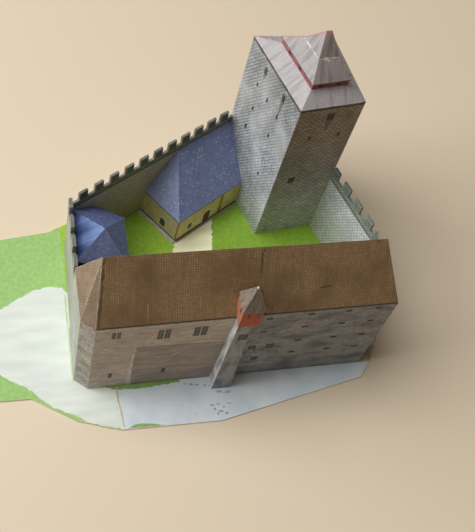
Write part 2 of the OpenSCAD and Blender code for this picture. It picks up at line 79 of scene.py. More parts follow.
def add(tree, kind, sockets=None, **settings):
    """Adds a shader node, with its settings and with values or links for its sockets."""
    node = tree.nodes.new("ShaderNode" + kind)
    for name, value in settings.items():
        setattr(node, name, value)
    for name, value in (sockets or {}).items():
        if isinstance(value, bpy.types.NodeSocket):
            tree.links.new(value, node.inputs[name])
        else:
            node.inputs[name].default_value = value
    return node


print("mid grey in linear numbers:", round(colour("#808080")[0], 3))

# %% [markdown]
# ## The table top
# The model stands on a plain pale sheet. A sheet of paper has next to no gloss and a faint cloud in
# its tone, which a slow noise gives. It lies a hair below the ground card, so the two don't flicker.

# %% A plain floor
FLOOR_REACH = 1.6
FLOOR_DROP = 0.0002
ways = ((-1, -1), (1, -1), (1, 1), (-1, 1))
corners = [(x * FLOOR_REACH, y * FLOOR_REACH, -FLOOR_DROP) for x, y in ways]
floor_mesh = bpy.data.meshes.new("floor")
floor_mesh.from_pydata(corners, [], [(0, 1, 2, 3)])
floor = bpy.data.objects.new("floor", floor_mesh)
bpy.context.scene.collection.objects.link(floor)
floor_paper = bpy.data.materials.new("uncoated_paper_floor")
floor_paper.use_nodes = True
floor_tree = floor_paper.node_tree
floor_cloud = add(floor_tree, "TexNoise", {"Scale": 6.0, "Detail": 3.0}).outputs["Fac"]
floor_tones = {0: floor_cloud, 6: colour("#d8c8ae"), 7: colour("#decfb7")}
floor_tone = add(floor_tree, "Mix", floor_tones, data_type="RGBA").outputs[2]
floor_shader = floor_tree.nodes["Principled BSDF"]
floor_tree.links.new(floor_tone, floor_shader.inputs["Base Color"])
floor_shader.inputs["Roughness"].default_value = 0.9
floor_mesh.materials.append(floor_paper)
print("floor", 2 * FLOOR_REACH, "m square")

# %% [markdown]
# ## The light
# Daylight came from a window on the left and from the open top of the room, so the courtyard is lit
# too and no shadow is hard. Two broad lamps stand for them: one nearly overhead, and one on the left
# about 30 degrees up. A weak, slightly warm world stands for the light that the room threw back.

# %% Light
world = bpy.data.worlds.new("studio")
world.use_nodes = True
sky = world.node_tree.nodes["Background"]
sky.inputs["Color"].default_value = colour("#f2dfc6")
sky.inputs["Strength"].default_value = 0.12
bpy.context.scene.world = world

LAMPS = {
    "overhead": (16.5, 0.9, 1.6, (-0.33, 0.08, 0.94)),
    "window": (17.0, 1.0, 1.6, (-0.84, 0.14, 0.52)),
}
for lamp_name, (watts, lamp_size, distance, direction) in LAMPS.items():
    lamp_data = bpy.data.lights.new(lamp_name, "AREA")
    lamp_data.energy = watts
    lamp_data.size = lamp_size
    lamp = bpy.data.objects.new(lamp_name, lamp_data)
    lamp.location = Vector(direction).normalized() * distance
    lamp.rotation_euler = Vector(direction).to_track_quat("Z", "Y").to_euler()
    bpy.context.scene.collection.objects.link(lamp)
    print(lamp_name, watts, "W at", [round(c, 2) for c in lamp.location])
bpy.context.scene.view_settings.view_transform = "Standard"

# %% [markdown]
# ## Where the sheets lie
# On the real model each wall and roof is one flat patch of a printed sheet, so its print has a lower
# left corner, an upright and a scale in millimetres. An image would need an unwrapped mesh for that.
# Here the same three things are read from the flat faces of the CAD nodes, and every ink can then be
# drawn in millimetres.

# %% Find the flat side of a sheet
Side = namedtuple("Side", "node corner along up normal width height")
UP = Vector((0, 0, 1))
WEST, EAST, NORTH, SOUTH = Vector((-1, 0, 0)), Vector((1, 0, 0)), Vector((0, 1, 0)), Vector((0, -1, 0))
FOUR_WAYS = {"south": SOUTH, "east": EAST, "north": NORTH, "west": WEST}
SAME_WAY = 0.996
SAME_PLANE_MM = 2
BY_SIZE, BY_DIRECTION = 6, 150


def side_of(node, facing, sharp=BY_SIZE):
    """The large flat side of a sheet that looks toward facing. A sharp choice minds size less."""
    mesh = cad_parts[node].data
    mesh.calc_loop_triangles()
    faces = mesh.loop_triangles
    toward = Vector(facing).normalized()
    best = max(faces, key=lambda face: face.area * max(0, face.normal.dot(toward)) ** sharp)
    normal = best.normal.copy()
    level = normal.dot(best.center)
    points = [
        mesh.vertices[i].co
        for face in faces
        if face.normal.dot(normal) > SAME_WAY
        and abs(normal.dot(face.center) - level) < SAME_PLANE_MM * MM
        for i in face.vertices
    ]
    up = UP - normal * normal.z
    up = up.normalized() if up.length > 0.01 else NORTH
    along = up.cross(normal)
    across = [point.dot(along) for point in points]
    upright = [point.dot(up) for point in points]
    corner = along * min(across) + up * min(upright) + normal * level
    width = (max(across) - min(across)) / MM
    height = (max(upright) - min(upright)) / MM
    return Side(node, corner, along, up, normal, width, height)


keep_front = side_of("keep_front_wall", SOUTH)
print("the keep's front wall is", round(keep_front.width, 1), "by", round(keep_front.height, 1), "mm")

# %% [markdown]
# ## Print on one side, bare card on the rest
# A sheet is printed on the outside only, and its cut edges and its back are bare. A folded roof is
# printed on several slopes that each lie their own way. For each point the shader takes the slope
# whose direction fits best, and where none fits, it is at an edge or on the back.

# %% Millimetres on the sheet
ON_PRINT = 0.97


def printed_place(tree, sides):
    """The point's place on its sheet in millimetres, and 1 where the sheet is printed."""
    point = add(tree, "TexCoord").outputs["Object"]
    facing = add(tree, "NewGeometry").outputs["Normal"]
    place, best = None, None
    for side in sides:
        turn = Matrix((side.along, side.up, side.normal)).transposed().to_euler()
        spot = {"Vector": point, "Location": side.corner, "Rotation": turn, "Scale": (MM, MM, MM)}
        here = add(tree, "Mapping", spot, vector_type="TEXTURE").outputs[0]
        fit = add(tree, "VectorMath", {0: facing, 1: side.normal}, operation="DOT_PRODUCT").outputs["Value"]
        if place is None:
            place, best = here, fit
            continue
        nearer = add(tree, "Math", {0: fit, 1: best}, operation="GREATER_THAN").outputs[0]
        place = add(tree, "Mix", {0: nearer, 4: place, 5: here}, data_type="VECTOR").outputs[1]
        best = add(tree, "Math", {0: fit, 1: best}, operation="MAXIMUM").outputs[0]
    if place is None:
        return add(tree, "Mapping", {"Vector": point, "Scale": (1 / MM,) * 3}).outputs[0], None
    return place, add(tree, "Math", {0: best, 1: ON_PRINT}, operation="GREATER_THAN").outputs[0]


print("prints are drawn in units of", MM, "m")

# %% [markdown]
# ## Clouds, smudges and tints
# Ink never lies quite evenly, and weather was printed on the walls too. Three helpers draw that: one
# lays an ink over another in soft patches, one paints light and shade on the sides that look one way,
# and one tints a wall from its foot to its top. A noise gives the patches, and its fourth number is
# their seed.

# %% Three ways to lay an ink over another
SEED_STEP = 1.7


def patches(tree, place, size, seed, start, end, stretch=(1, 1, 1), detail=2.0, most=1.0):
    """0 to most in soft patches about size mm across, or stretched along one way of the sheet.

    A patch starts where the noise passes start and is full at end.
    """
    scaled = add(tree, "VectorMath", {0: place, 1: stretch}, operation="MULTIPLY").outputs[0]
    cloud = {"Vector": scaled, "W": seed * SEED_STEP, "Scale": 1 / size, "Detail": detail}
    noise = add(tree, "TexNoise", cloud, noise_dimensions="4D").outputs["Fac"]
    share = {"Value": noise, "From Min": start, "From Max": end, "To Max": most}
    return add(tree, "MapRange", share).outputs[0]


def smudge(tree, place, body, ink, most, size, seed, start, end, stretch=(1, 1, 1), detail=2.0):
    """An ink over a body, which may be a plain ink too, in patches that hide at most that share."""
    share = patches(tree, place, size, seed, start, end, stretch, detail, most)
    under = colour(body) if isinstance(body, str) else body
    return add(tree, "Mix", {0: share, 6: under, 7: colour(ink)}, data_type="RGBA").outputs[2]


def painted_light_by_facing(tree, body, ink, direction, most, blend="MIX"):
    """Painted light and shade over a body where it looks toward direction: darker sides away from the
    lamps, a paler lit side.
    """
    facing = add(tree, "NewGeometry").outputs["Normal"]
    fit = add(tree, "VectorMath", {0: facing, 1: direction}, operation="DOT_PRODUCT").outputs["Value"]
    share = {"Value": fit, "From Min": 0.2, "From Max": 0.7, "To Max": most}
    inks = {0: add(tree, "MapRange", share).outputs[0], 6: body, 7: colour(ink)}
    return add(tree, "Mix", inks, data_type="RGBA", blend_type=blend).outputs[2]


def rising_tint(tree, place, body, foot, top, start, end):
    """A body under a tint that turns from the foot's to the top's between two heights in mm."""
    level = add(tree, "SeparateXYZ", {"Vector": place}).outputs["Y"]
    rise = add(tree, "MapRange", {"Value": level, "From Min": start, "From Max": end}).outputs[0]
    tint = add(tree, "Mix", {0: rise, 6: colour(foot), 7: colour(top)}, data_type="RGBA").outputs[2]
    return add(tree, "Mix", {0: 1.0, 6: body, 7: tint}, data_type="RGBA", blend_type="MULTIPLY").outputs[2]


print("noise seeds are", SEED_STEP, "apart")

# %% [markdown]
# ## Coated card
# The sheets are wood-pulp card with a thin clay coat, printed by offset and left without varnish.
# That gives the eye a matt surface with a soft sheen, an index near 1.5 and a roughness near 0.65.
# Fibres lift the coat by hundredths of a millimetre. Where a fold or an edge has been rubbed, the ink
# cracks off and the white core shows. A bevel lookup finds those edges, and a patchy noise decides
# where they are worn.

# %% The card itself
CARD_IOR = 1.5
CARD_WHITE = "#e9e5da"
CARD_CORE = "#d9d4c8"
FIBRE_MM = 0.35
FIBRE_RELIEF_MM = 0.03
FOLD_REACH_MM = 0.4
EDGE_RUBBED = 0.25


def printed_card(
    name, sides, ink, *tones, edge=CARD_WHITE, wear=0.5, core=CARD_CORE, smooth=0.56, rough=0.74
):
    """Card with ink(tree, place, *tones) on its printed sides, rubbed folds, and a bare edge or a dark edge
    of painted shade.
    """
    card = bpy.data.materials.new(name)
    card.use_nodes = True
    tree = card.node_tree
    shader = tree.nodes["Principled BSDF"]
    shader.inputs["IOR"].default_value = CARD_IOR
    seed = len(bpy.data.materials)
    place, printed = printed_place(tree, sides)
    body = ink(tree, place, *tones)
    if printed is not None:
        bare = smudge(tree, place, edge, CARD_CORE, 1.0, 4, seed, 0.3, 0.8)
        # A dark edge is painted shade on the cut edges of roofs and parapets, where the eaves and the
        # merlons' ends lie in shadow.
        if edge != CARD_WHITE:
            painted_shade_edge = {0: EDGE_RUBBED, 6: colour(edge), 7: bare}
            bare = add(tree, "Mix", painted_shade_edge, data_type="RGBA").outputs[2]
        body = add(tree, "Mix", {0: printed, 6: bare, 7: body}, data_type="RGBA").outputs[2]
    eased = add(tree, "Bevel", {"Radius": FOLD_REACH_MM * MM}, samples=6).outputs[0]
    facing = add(tree, "NewGeometry").outputs["Normal"]
    flat = add(tree, "VectorMath", {0: eased, 1: facing}, operation="DOT_PRODUCT").outputs["Value"]
    fold = add(tree, "MapRange", {"Value": flat, "From Min": 0.998, "From Max": 0.93}).outputs[0]
    rubbed = patches(tree, place, 3, seed + 5, 0.42, 0.62, most=wear)
    worn = add(tree, "Math", {0: fold, 1: rubbed}, operation="MULTIPLY").outputs[0]
    body = add(tree, "Mix", {0: worn, 6: body, 7: colour(core)}, data_type="RGBA").outputs[2]
    tree.links.new(body, shader.inputs["Base Color"])
    fibre = add(tree, "TexNoise", {"Vector": place, "Scale": 1 / FIBRE_MM, "Detail": 3.0}).outputs["Fac"]
    sheen = {"Value": fibre, "From Min": 0.3, "From Max": 0.7, "To Min": smooth, "To Max": rough}
    tree.links.new(add(tree, "MapRange", sheen).outputs[0], shader.inputs["Roughness"])
    relief = add(tree, "Bump", {"Strength": 0.5, "Distance": FIBRE_RELIEF_MM * MM, "Height": fibre})
    tree.links.new(relief.outputs["Normal"], shader.inputs["Normal"])
    return card


def dress(node, sides, *inks, name=None, **looks):
    """Gives a CAD node a printed card of its own."""
    card = printed_card("coated_card_" + (name or node), sides, *inks, **looks)
    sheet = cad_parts[node]
    if not sheet.material_slots:
        sheet.data.materials.append(card)
    for holder in sheet.material_slots:
        holder.material = card
    print(card.name, "on", node)


# %% [markdown]
# ## Coursed stone
# Most walls are printed as small blocks in courses with dark joints, under two millimetres high, so
# they show as a fine net. The real net is finer still and is drawn as coarse as it needs to show. The
# brick texture gives each block a tone of its own, and a slow noise makes the lines look hand-drawn.

# %% Courses of stone
COURSE_MM = 1.7
BLOCK_MM = 1.9
LONG_BLOCK_MM = 2.7
JOINT_MM = 0.5
WEATHERED = 0.4


def courses(tree, place, seed, inks, block, row, joint_w, shake=0.3, offset=0.5):
    """Rows of blocks between a pale and a dark ink, with joints in a third. All sizes are in mm."""
    pale, dark, joint = [colour(code) for code in inks]
    slow = {"Vector": place, "W": seed, "Scale": 0.6, "Detail": 2.0}
    waver = add(tree, "TexNoise", slow, noise_dimensions="4D").outputs["Color"]
    push = {0: waver, 1: (shake, shake, 0), 2: place}
    moved = add(tree, "VectorMath", push, operation="MULTIPLY_ADD").outputs[0]
    drawing = {
        "Vector": moved, "Color1": pale, "Color2": dark, "Mortar": joint, "Scale": 1.0, "Bias": 0.0,
        "Mortar Size": joint_w / 2, "Mortar Smooth": 0.3, "Brick Width": block, "Row Height": row,
    }
    return add(tree, "TexBrick", drawing, offset=offset).outputs["Color"]


def stone_wall(tree, place, seed, inks, top, foot, height, stain=WEATHERED, haze=0.0, block=BLOCK_MM):
    """Coursed stone with weather stains, and a tint that changes from the foot to the top."""
    body = courses(tree, place, seed, inks, block, COURSE_MM, JOINT_MM, shake=0.05)
    body = smudge(tree, place, body, inks[0], haze, 18, seed + 4, 0.4, 0.72, (1, 0.6, 1))
    body = smudge(tree, place, body, inks[2], stain, 9, seed, 0.42, 0.72, (1, 0.5, 1))
    return rising_tint(tree, place, body, foot, top, 0.2 * height, height)


# %% [markdown]
# ## The keep
# All four walls of the keep carry a print of small grey blocks. The blocks are longer on the front and
# the east, the west wall has a pale haze in patches, and the front is browner near the top.

# %% Stone for the keep
CRISP_INKS = ("#fbfdff", "#cacfd1", "#555b5e")
FAINT_INKS = ("#f2f4f6", "#c2c7c9", "#757b7e")
KEEP_SIDES = {
    "keep_front_wall": (SOUTH, FAINT_INKS, "#e6ccb4", "#f9edf1", 0.12, LONG_BLOCK_MM),
    "keep_west_wall": (WEST, CRISP_INKS, "#c4c8cc", "#fcfdff", 0.55, BLOCK_MM),
    "keep_north_wall": (NORTH, CRISP_INKS, "#e8e2d8", "#f8fcff", 0.3, BLOCK_MM),
    "keep_east_wall": (EAST, FAINT_INKS, "#e8dccc", "#f8fbf2", 0.15, LONG_BLOCK_MM),
}
keep_walls = {}
for number, (node, (facing, inks, top, foot, haze, block)) in enumerate(KEEP_SIDES.items()):
    wall = keep_walls[node] = side_of(node, facing)
    tints = (top, foot, wall.height, WEATHERED, haze, block)
    dress(node, [wall], stone_wall, number + 2, inks, *tints, wear=0.45)

# %% [markdown]
# The two roofs are printed as lilac-grey shingles with dark streaks that run down the slope. The
# cap's tip was coloured with a red pencil before it was folded, and the ink has cracked there.

# %% Shingles for the keep's roofs
TIP_FROM_MM = 169.0
TIP_FULL_MM = 172.5
DOWN_SLOPE = (1, 0.1, 1)


def shingles(tree, place, seed, inks, streak, shade=0.55):
    """Rows of shingles, streaked down the slope, with painted shade that browns the slopes facing south and
    east.
    """
    body = courses(tree, place, seed, inks, 1.4, 1.7, 0.2)
    body = smudge(tree, place, body, inks[0], 0.7, 1.7, seed + 6, 0.35, 0.65, DOWN_SLOPE, detail=3.0)
    body = smudge(tree, place, body, streak, 0.6, 2.0, seed, 0.48, 0.66, DOWN_SLOPE, detail=3.0)
    return painted_light_by_facing(tree, body, "#cbb096", SOUTH + EAST * 0.6, shade, "MULTIPLY")


def cap_shingles(tree, place):
    """Shingles that turn pencil red at the very tip."""
    body = shingles(tree, place, 8, ("#aca8ab", "#a09c9f", "#908e90"), "#736b6c", 0.38)
    point = add(tree, "TexCoord").outputs["Object"]
    level = add(tree, "SeparateXYZ", {"Vector": point}).outputs["Z"]
    reach = {"Value": level, "From Min": TIP_FROM_MM * MM, "From Max": TIP_FULL_MM * MM}
    tip = add(tree, "MapRange", reach).outputs[0]
    pencil = patches(tree, place, 1.5, 4, 0.2, 0.6)
    share = add(tree, "Math", {0: tip, 1: pencil}, operation="MULTIPLY").outputs[0]
    return add(tree, "Mix", {0: share, 6: body, 7: colour("#c98a8c")}, data_type="RGBA").outputs[2]


lower_slopes = [side_of("keep_lower_roof", facing + UP * 0.7) for facing in FOUR_WAYS.values()]
cap_slopes = [side_of("keep_upper_roof", facing + UP * 0.75) for facing in FOUR_WAYS.values()]
steeper = [slope.normal - UP * 0.2 for slope in cap_slopes]
cap_slopes += [side_of("keep_upper_roof", way, BY_DIRECTION) for way in steeper]
dress(
    "keep_lower_roof", lower_slopes, shingles, 3, ("#b0acaf", "#a39fa2", "#94908f"), "#7d787b", 0.3,
    name="lower_shingles", edge="#3b3634", wear=0.8, core="#d8c4c4",
)
dress(
    "keep_upper_roof", cap_slopes, cap_shingles,
    name="upper_shingles", edge="#3b3030", wear=0.9, core="#d9a6a6",
)

# %% [markdown]
# Between the two roofs runs a low band of windows, printed dark red. Only a blurred grain breaks the
# red, and the windows are added later as shapes.

# %% Red for the window band
def red_band(tree, place):
    """Dark red with fine upright boards, and painted shade that deepens the red on the front."""
    inks = ("#b0646a", "#9d5158", "#80414a")
    body = courses(tree, place, 2, inks, 1.1, 5.0, 0.2, shake=0.1, offset=0)
    body = smudge(tree, place, body, "#b27a7e", 0.35, 4, 9, 0.4, 0.8)
    return painted_light_by_facing(tree, body, "#6e2c30", SOUTH, 0.45)


band_ways = [keep_walls["keep_" + wall + "_wall"].normal for wall in ("front", "east", "north", "west")]
band_sides = [side_of("keep_window_band", way, sharp=BY_DIRECTION) for way in band_ways]
dress("keep_window_band", band_sides, red_band, name="red_band", wear=0.3)

# %% [markdown]
# ## The curtain walls
# The walls round the courtyard are two printed sheets glued back to back, so they are printed inside
# and outside, and only the cut top edges are bare. The sheets differ: the north wall is olive-grey
# inside, the west one is blue-grey, and both are pale outside. The east one is a pale net of blocks.

# %% Stone for the curtain walls
NORTH_WAYS = ((0.47, -0.88, 0), (-0.47, 0.88, 0))
EAST_WAYS = ((-0.93, -0.37, 0), (-0.98, 0.19, 0), (0.93, 0.37, 0), (0.98, -0.19, 0))
CURTAIN_TINTS = ("#ffffff", "#e8e6de", 57, 0.3)
CURTAINS = {
    "north_curtain_wall": (NORTH_WAYS, BY_SIZE, "#dcd1c3", "#bbb09f", "#9e9487"),
    "west_curtain_wall": ((WEST, EAST), BY_SIZE, "#ccd0c6", "#aeb4aa", "#8b9189"),
    "east_curtain_wall": (EAST_WAYS, BY_DIRECTION, "#fafcff", "#d2d8dc", "#868e92"),
}
for number, (node, (facings, sharp, *inks)) in enumerate(CURTAINS.items()):
    sides = [side_of(node, facing, sharp) for facing in facings]
    dress(node, sides, stone_wall, number + 11, inks, *CURTAIN_TINTS)

# %% [markdown]
# The parapets are the same sheets above the line of the wall walk.

# %% Stone for the parapets
PARAPET_TINTS = ("#ffffff", "#f0efe8", 12, 0.25)
PARAPETS = {
    "north_parapet": (NORTH_WAYS, "#a5a297", "#89867b", "#66635a"),
    "west_parapet": ((WEST, EAST), "#b4bab4", "#989f9b", "#7a817f"),
    "east_parapet": (((-1, -0.3, 0), (1, 0.3, 0)), "#b4b8b4", "#979c99", "#757b78"),
}
parapets = {}
for number, (node, (facings, *inks)) in enumerate(PARAPETS.items()):
    parapets[node] = [side_of(node, facing) for facing in facings]
    dress(node, parapets[node], stone_wall, number + 21, inks, *PARAPET_TINTS, edge="#565951", wear=0.25)

# %% [markdown]
# ## The hall's walls
# The long front wall is printed as rough rubble under thin plaster: grey-beige and streaky left of
# the turret, blue-grey and darker right of it, with patches of red and orange brick. Stretched noise
# gives streaks along the courses, and finer noise breaks them into stones.

# %% Rubble for the hall
def rubble(tree, place, seed, inks, streak, warm, warm_share, soot=0.55):
    """Rubble in rough courses, with long streaks, sooty clouds and warm patches."""
    body = courses(tree, place, seed, inks, 1.7, 1.2, 0.3, shake=1.2)
    body = smudge(tree, place, body, streak, 0.75, 2.4, seed, 0.46, 0.66, (0.24, 1, 1), detail=5.0)
    body = smudge(tree, place, body, inks[2], soot, 8, seed + 1, 0.45, 0.64, (0.6, 1, 1), detail=5.0)
    return smudge(tree, place, body, warm, warm_share, 3.6, seed + 3, 0.6, 0.72, (0.6, 1, 1), detail=3.0)


HALL_WALLS = {
    "hall_front_wall_left": (SOUTH, ("#ded4cb", "#c6bbb1", "#9b9189"), "#9a918a", "#b98a66", 0.4),
    "hall_front_wall_right": (SOUTH, ("#b9babb", "#8e9095", "#44464d"), "#838b96", "#8e645e", 0.4, 0.68),
    "hall_corner_wall": ((-0.65, -0.76, 0), ("#dedbd3", "#a6a39b", "#6f6c66"), "#98958f", "#a98867", 0.3),
    "hall_west_wall": (WEST, ("#ccd0c6", "#aeb4aa", "#8b9189"), "#9da49c", "#a98867", 0.2),
    "hall_back_wall": (NORTH, ("#c0b8aa", "#9f978a", "#7d766a"), "#8d867c", "#a98867", 0.3),
    "hall_east_wall": (EAST, ("#b3b0ae", "#8f8f92", "#6a6b70"), "#82868c", "#a0625a", 0.5),
}
hall_walls = {}
for number, (node, (facing, *inks)) in enumerate(HALL_WALLS.items()):
    hall_walls[node] = side_of(node, facing)
    dress(node, [hall_walls[node]], rubble, number + 31, *inks, wear=0.6)
hall_left, hall_right = hall_walls["hall_front_wall_left"], hall_walls["hall_front_wall_right"]

# %% [markdown]
# ## The hall's roof
# Small brown tiles cover the long roof. A tile of the print is about 1.2 mm wide, and its shade
# changes from column to column, so the tiles make a grid. Noise that is stretched up the slope
# darkens some columns with painted shade, where the bowed sheet turns from the light, and a slow one
# leaves large dark clouds. The two small west facets are printed as smooth tan wash.

# %% Tiles for the hall
TILE_W_MM = 1.2
TILE_H_MM = 1.4
TILE_INKS = ("#a2855f", "#8f724e", "#6b5236")


def small_tiles(tree, place, seed, inks, shade):
    """A grid of small tiles with a few dark specks, and darker columns down the slope that are painted
    shade of the bowed sheet.
    """
    body = courses(tree, place, seed, inks, TILE_W_MM, TILE_H_MM, 0.3, shake=0.5, offset=0.0)
    body = smudge(tree, place, body, shade, 0.5, 2.6, seed, 0.4, 0.7, DOWN_SLOPE, detail=4.0)
    body = smudge(tree, place, body, inks[2], 0.8, 22, seed + 2, 0.44, 0.66, detail=3.0)
    return smudge(tree, place, body, "#3a2f24", 1.0, 1.2, seed + 4, 0.73, 0.78, detail=1.0)


def tan_wash(tree, place, seed):
    """Smooth tan wash with faint rows of tiles under it."""
    body = courses(tree, place, seed, ("#8b7560", "#745f4b", "#55452f"), 1.5, 1.6, 0.4)
    return smudge(tree, place, body, "#8f7d6b", 0.75, 7, seed, 0.25, 0.7)


HALL_SLOPES = {
    "hall_roof_front": SOUTH + UP * 0.66,
    "hall_roof_back": NORTH + UP * 0.3,
    "hall_roof_east_hip": EAST + UP * 0.3,
}
for number, (node, slope) in enumerate(HALL_SLOPES.items()):
    tiles = (small_tiles, number + 41, TILE_INKS, "#6e593f")
    dress(node, [side_of(node, slope)], *tiles, edge="#2f2720", wear=0.55, core="#b5a48e")
TAN_SLOPES = {"hall_roof_west_hip": WEST + UP * 0.3, "hall_roof_corner_hip": (-0.65, -0.76, 0.4)}
for number, (node, slope) in enumerate(TAN_SLOPES.items()):
    dress(node, [side_of(node, slope)], tan_wash, number + 51, edge="#4a3f34", wear=0.8)

# %% [markdown]
# ## The turret
# A thin tapering shaft of pale stone climbs the hall's front wall and carries an orange brick box
# with a steep little roof.

# %% Stone, brick and roof for the turret
def shaft_stone(tree, place):
    """Pale smooth stone with smudges, streaked on the front, where painted shade darkens it."""
    body = rubble(tree, place, 61, ("#f2f6fc", "#dde2ea", "#bcc2ca"), "#ccd2dc", "#c4beb8", 0.15)
    body = smudge(tree, place, body, "#868a90", 0.7, 5, 12, 0.46, 0.62, (1, 0.35, 1), detail=4.0)
    return painted_light_by_facing(tree, body, "#b4b3b6", SOUTH, 1.0, "MULTIPLY")


def turret_brick(tree, place):
    """Orange brick in fine courses with darker patches, and a painted highlight that makes the lit west
    side paler.
    """
    body = courses(tree, place, 5, ("#c65d20", "#a84614", "#812e08"), 1.6, 0.95, 0.24)
    body = smudge(tree, place, body, "#93431f", 0.4, 3.5, 7, 0.4, 0.75)
    return painted_light_by_facing(tree, body, "#b39a88", WEST, 0.35)


shaft_sides = [side_of("turret_shaft", facing) for facing in (SOUTH, WEST, EAST)]
turret_sides = [side_of("turret_box", facing) for facing in (SOUTH, WEST, EAST, NORTH)]
turret_slopes = [side_of("turret_roof", facing + UP * 0.3) for facing in FOUR_WAYS.values()]
dress("turret_shaft", shaft_sides, shaft_stone, wear=0.8)
dress("turret_box", turret_sides, turret_brick, wear=0.6)
dress(
    "turret_roof", turret_slopes, shingles, 13, ("#8c8276", "#695f54", "#4c433a"), "#4a3f34", 0.25,
    edge="#3d3228", wear=0.8,
)

# %% [markdown]
# ## The courtyard house
# Its walls are ochre plaster and its roof is dark blue slate. The print scatters small pale dots over
# the slates, in some places thickly. Cells with a random point each give such dots, a second random
# number leaves some cells empty, and a slow noise decides where they gather.

# %% Slates and plaster
DOT_CELL_MM = 1.9
DOT_REACH = 0.17
DOT_BLUR = 0.08
# The dark cut edge of the slate roofs is painted shadow under their eaves.
SLATE_EDGE_SHADE = "#2b3040"


def slates(tree, place, seed, inks):
    """Dark blue slates with pale dots that gather in places."""
    body = courses(tree, place, seed, inks, 1.5, 1.2, 0.2)
    body = smudge(tree, place, body, inks[2], 0.4, 8, seed, 0.35, 0.7)
    moved = add(tree, "VectorMath", {0: place, 1: (seed * 31, seed * 17, 0)}, operation="ADD").outputs[0]
    grid = {"Vector": moved, "Scale": 1 / DOT_CELL_MM}
    cells = add(tree, "TexVoronoi", grid, voronoi_dimensions="2D").outputs
    reach = {"Value": cells["Distance"], "From Min": DOT_REACH + DOT_BLUR, "From Max": DOT_REACH}
    near = add(tree, "MapRange", reach).outputs[0]
    lot = add(tree, "SeparateColor", {"Color": cells["Color"]}).outputs[0]
    gather = patches(tree, place, 11, seed + 1, 0.45, 0.65)
    needed = add(tree, "MapRange", {"Value": gather, "To Min": 0.93, "To Max": 0.62}).outputs[0]
    chosen = add(tree, "Math", {0: lot, 1: needed}, operation="GREATER_THAN").outputs[0]
    dot = add(tree, "Math", {0: near, 1: chosen}, operation="MULTIPLY").outputs[0]
    return add(tree, "Mix", {0: dot, 6: body, 7: colour("#b9c6de")}, data_type="RGBA").outputs[2]


def plaster(tree, place, seed, pale, dark, stain):
    """Rubbed plaster with stains that run down it."""
    body = smudge(tree, place, pale, dark, 1.0, 5, seed, 0.3, 0.75, detail=4.0)
    return smudge(tree, place, body, stain, 0.6, 2.2, seed + 2, 0.5, 0.78, (1, 0.25, 1), detail=3.0)


house_front = side_of("house_front_wall", (0.52, -0.85, 0))
house_side = side_of("house_side_wall", (-0.78, -0.62, 0))
# The side wall, which faces the lamps, gets a paler copy of the front's plaster: painted light.
dress("house_front_wall", [house_front], plaster, 71, "#ecd69a", "#d4bb79", "#9f8d55")
dress("house_side_wall", [house_side], plaster, 72, "#eedfb2", "#d8c690", "#a59668")
# The hip, which faces the lamps, gets a paler copy of the slate: painted light.
HOUSE_SLATES = {
    "house_roof_main": ((0.4, -0.66, 0.64), "#909bc6", "#7b86b2", "#636e9c"),
    "house_roof_hip": ((-0.7, -0.4, 0.6), "#b4bfe4", "#99a5cf", "#7f8bb8"),
}
for number, (node, (facing, *inks)) in enumerate(HOUSE_SLATES.items()):
    slope = side_of(node, facing)
    dress(node, [slope], slates, number + 75, inks, edge=SLATE_EDGE_SHADE, wear=0.6, core="#a9b4c4")
kerb_stones = (courses, 3, ("#cfccc2", "#b2afa5", "#86837a"), 2.4, 1.1, 0.25)
dress("house_kerb", [side_of("house_kerb", UP)], *kerb_stones)

# %% [markdown]
# ## The gatehouse
# The gatehouse leans in the corner of the two curtain walls. The facet toward the west wall is
# printed with bright blue stripes that run down the slope, and the others are dark slate, inked as
# lighter and darker copies of one slate: painted light and shade, darkest on the north and lightest on
# the south.

# %% Stripes, slates and stone
STRIPE_MM = 1.0
STRIPE_LENGTH_MM = 60.0


def striped_slates(tree, place, height):
    """Blue strips down the slope, with dark seams, and painted shade that darkens them toward the foot,
    where the west parapet casts its shadow.
    """
    inks = ("#7f9acb", "#667fb4", "#354470")
    strips = courses(tree, place, 4, inks, STRIPE_MM, STRIPE_LENGTH_MM, 0.36, shake=0.1)
    return rising_tint(tree, place, strips, "#c2c6d8", "#ffffff", 0.1 * height, height)


gate_west = side_of("gatehouse_roof_west", (-0.6, 0, 0.8))
dress(
    "gatehouse_roof_west", [gate_west], striped_slates, gate_west.height,
    name="gatehouse_stripes", edge=SLATE_EDGE_SHADE, wear=0.6, core="#9fb0cc",
)
GATE_SLOPES = {
    "gatehouse_roof_north": ([(0.1, 0.5, 0.8), (-0.35, 0.5, 0.8)], "#707fae", "#5e6c9b", "#4a5986"),
    "gatehouse_roof_east": ([(0.7, 0, 0.7)], "#8592c0", "#6e7bab", "#566292"),
    "gatehouse_roof_south": ([(0, -0.7, 0.7)], "#a0abda", "#8692c4", "#6c78ab"),
}
for number, (node, (facings, *inks)) in enumerate(GATE_SLOPES.items()):
    sides = [side_of(node, facing) for facing in facings]
    dress(node, sides, slates, number + 81, inks, edge=SLATE_EDGE_SHADE, wear=0.95, core="#8fb0b8")
GATE_WALLS = {"north": (0.3, 0.9, 0), "east": EAST, "south": SOUTH}
GATE_STONE = (("#bdbdb2", "#9c9c92", "#74746b"), "#ffffff", "#e6e4da", 42)
gate_walls = {}
for number, (name, facing) in enumerate(GATE_WALLS.items()):
    node = "gatehouse_" + name + "_wall"
    gate_walls[name] = side_of(node, facing)
    dress(node, [gate_walls[name]], stone_wall, number + 91, *GATE_STONE)

# %% [markdown]
# ## The ground card
# The model is glued to a painted ground card: a green meadow print with a second, pale sheet joined
# on in front of the hall. The green is a mottle of two greens, and the courtyard has a stronger green,
# with painted shade that darkens it toward the east.

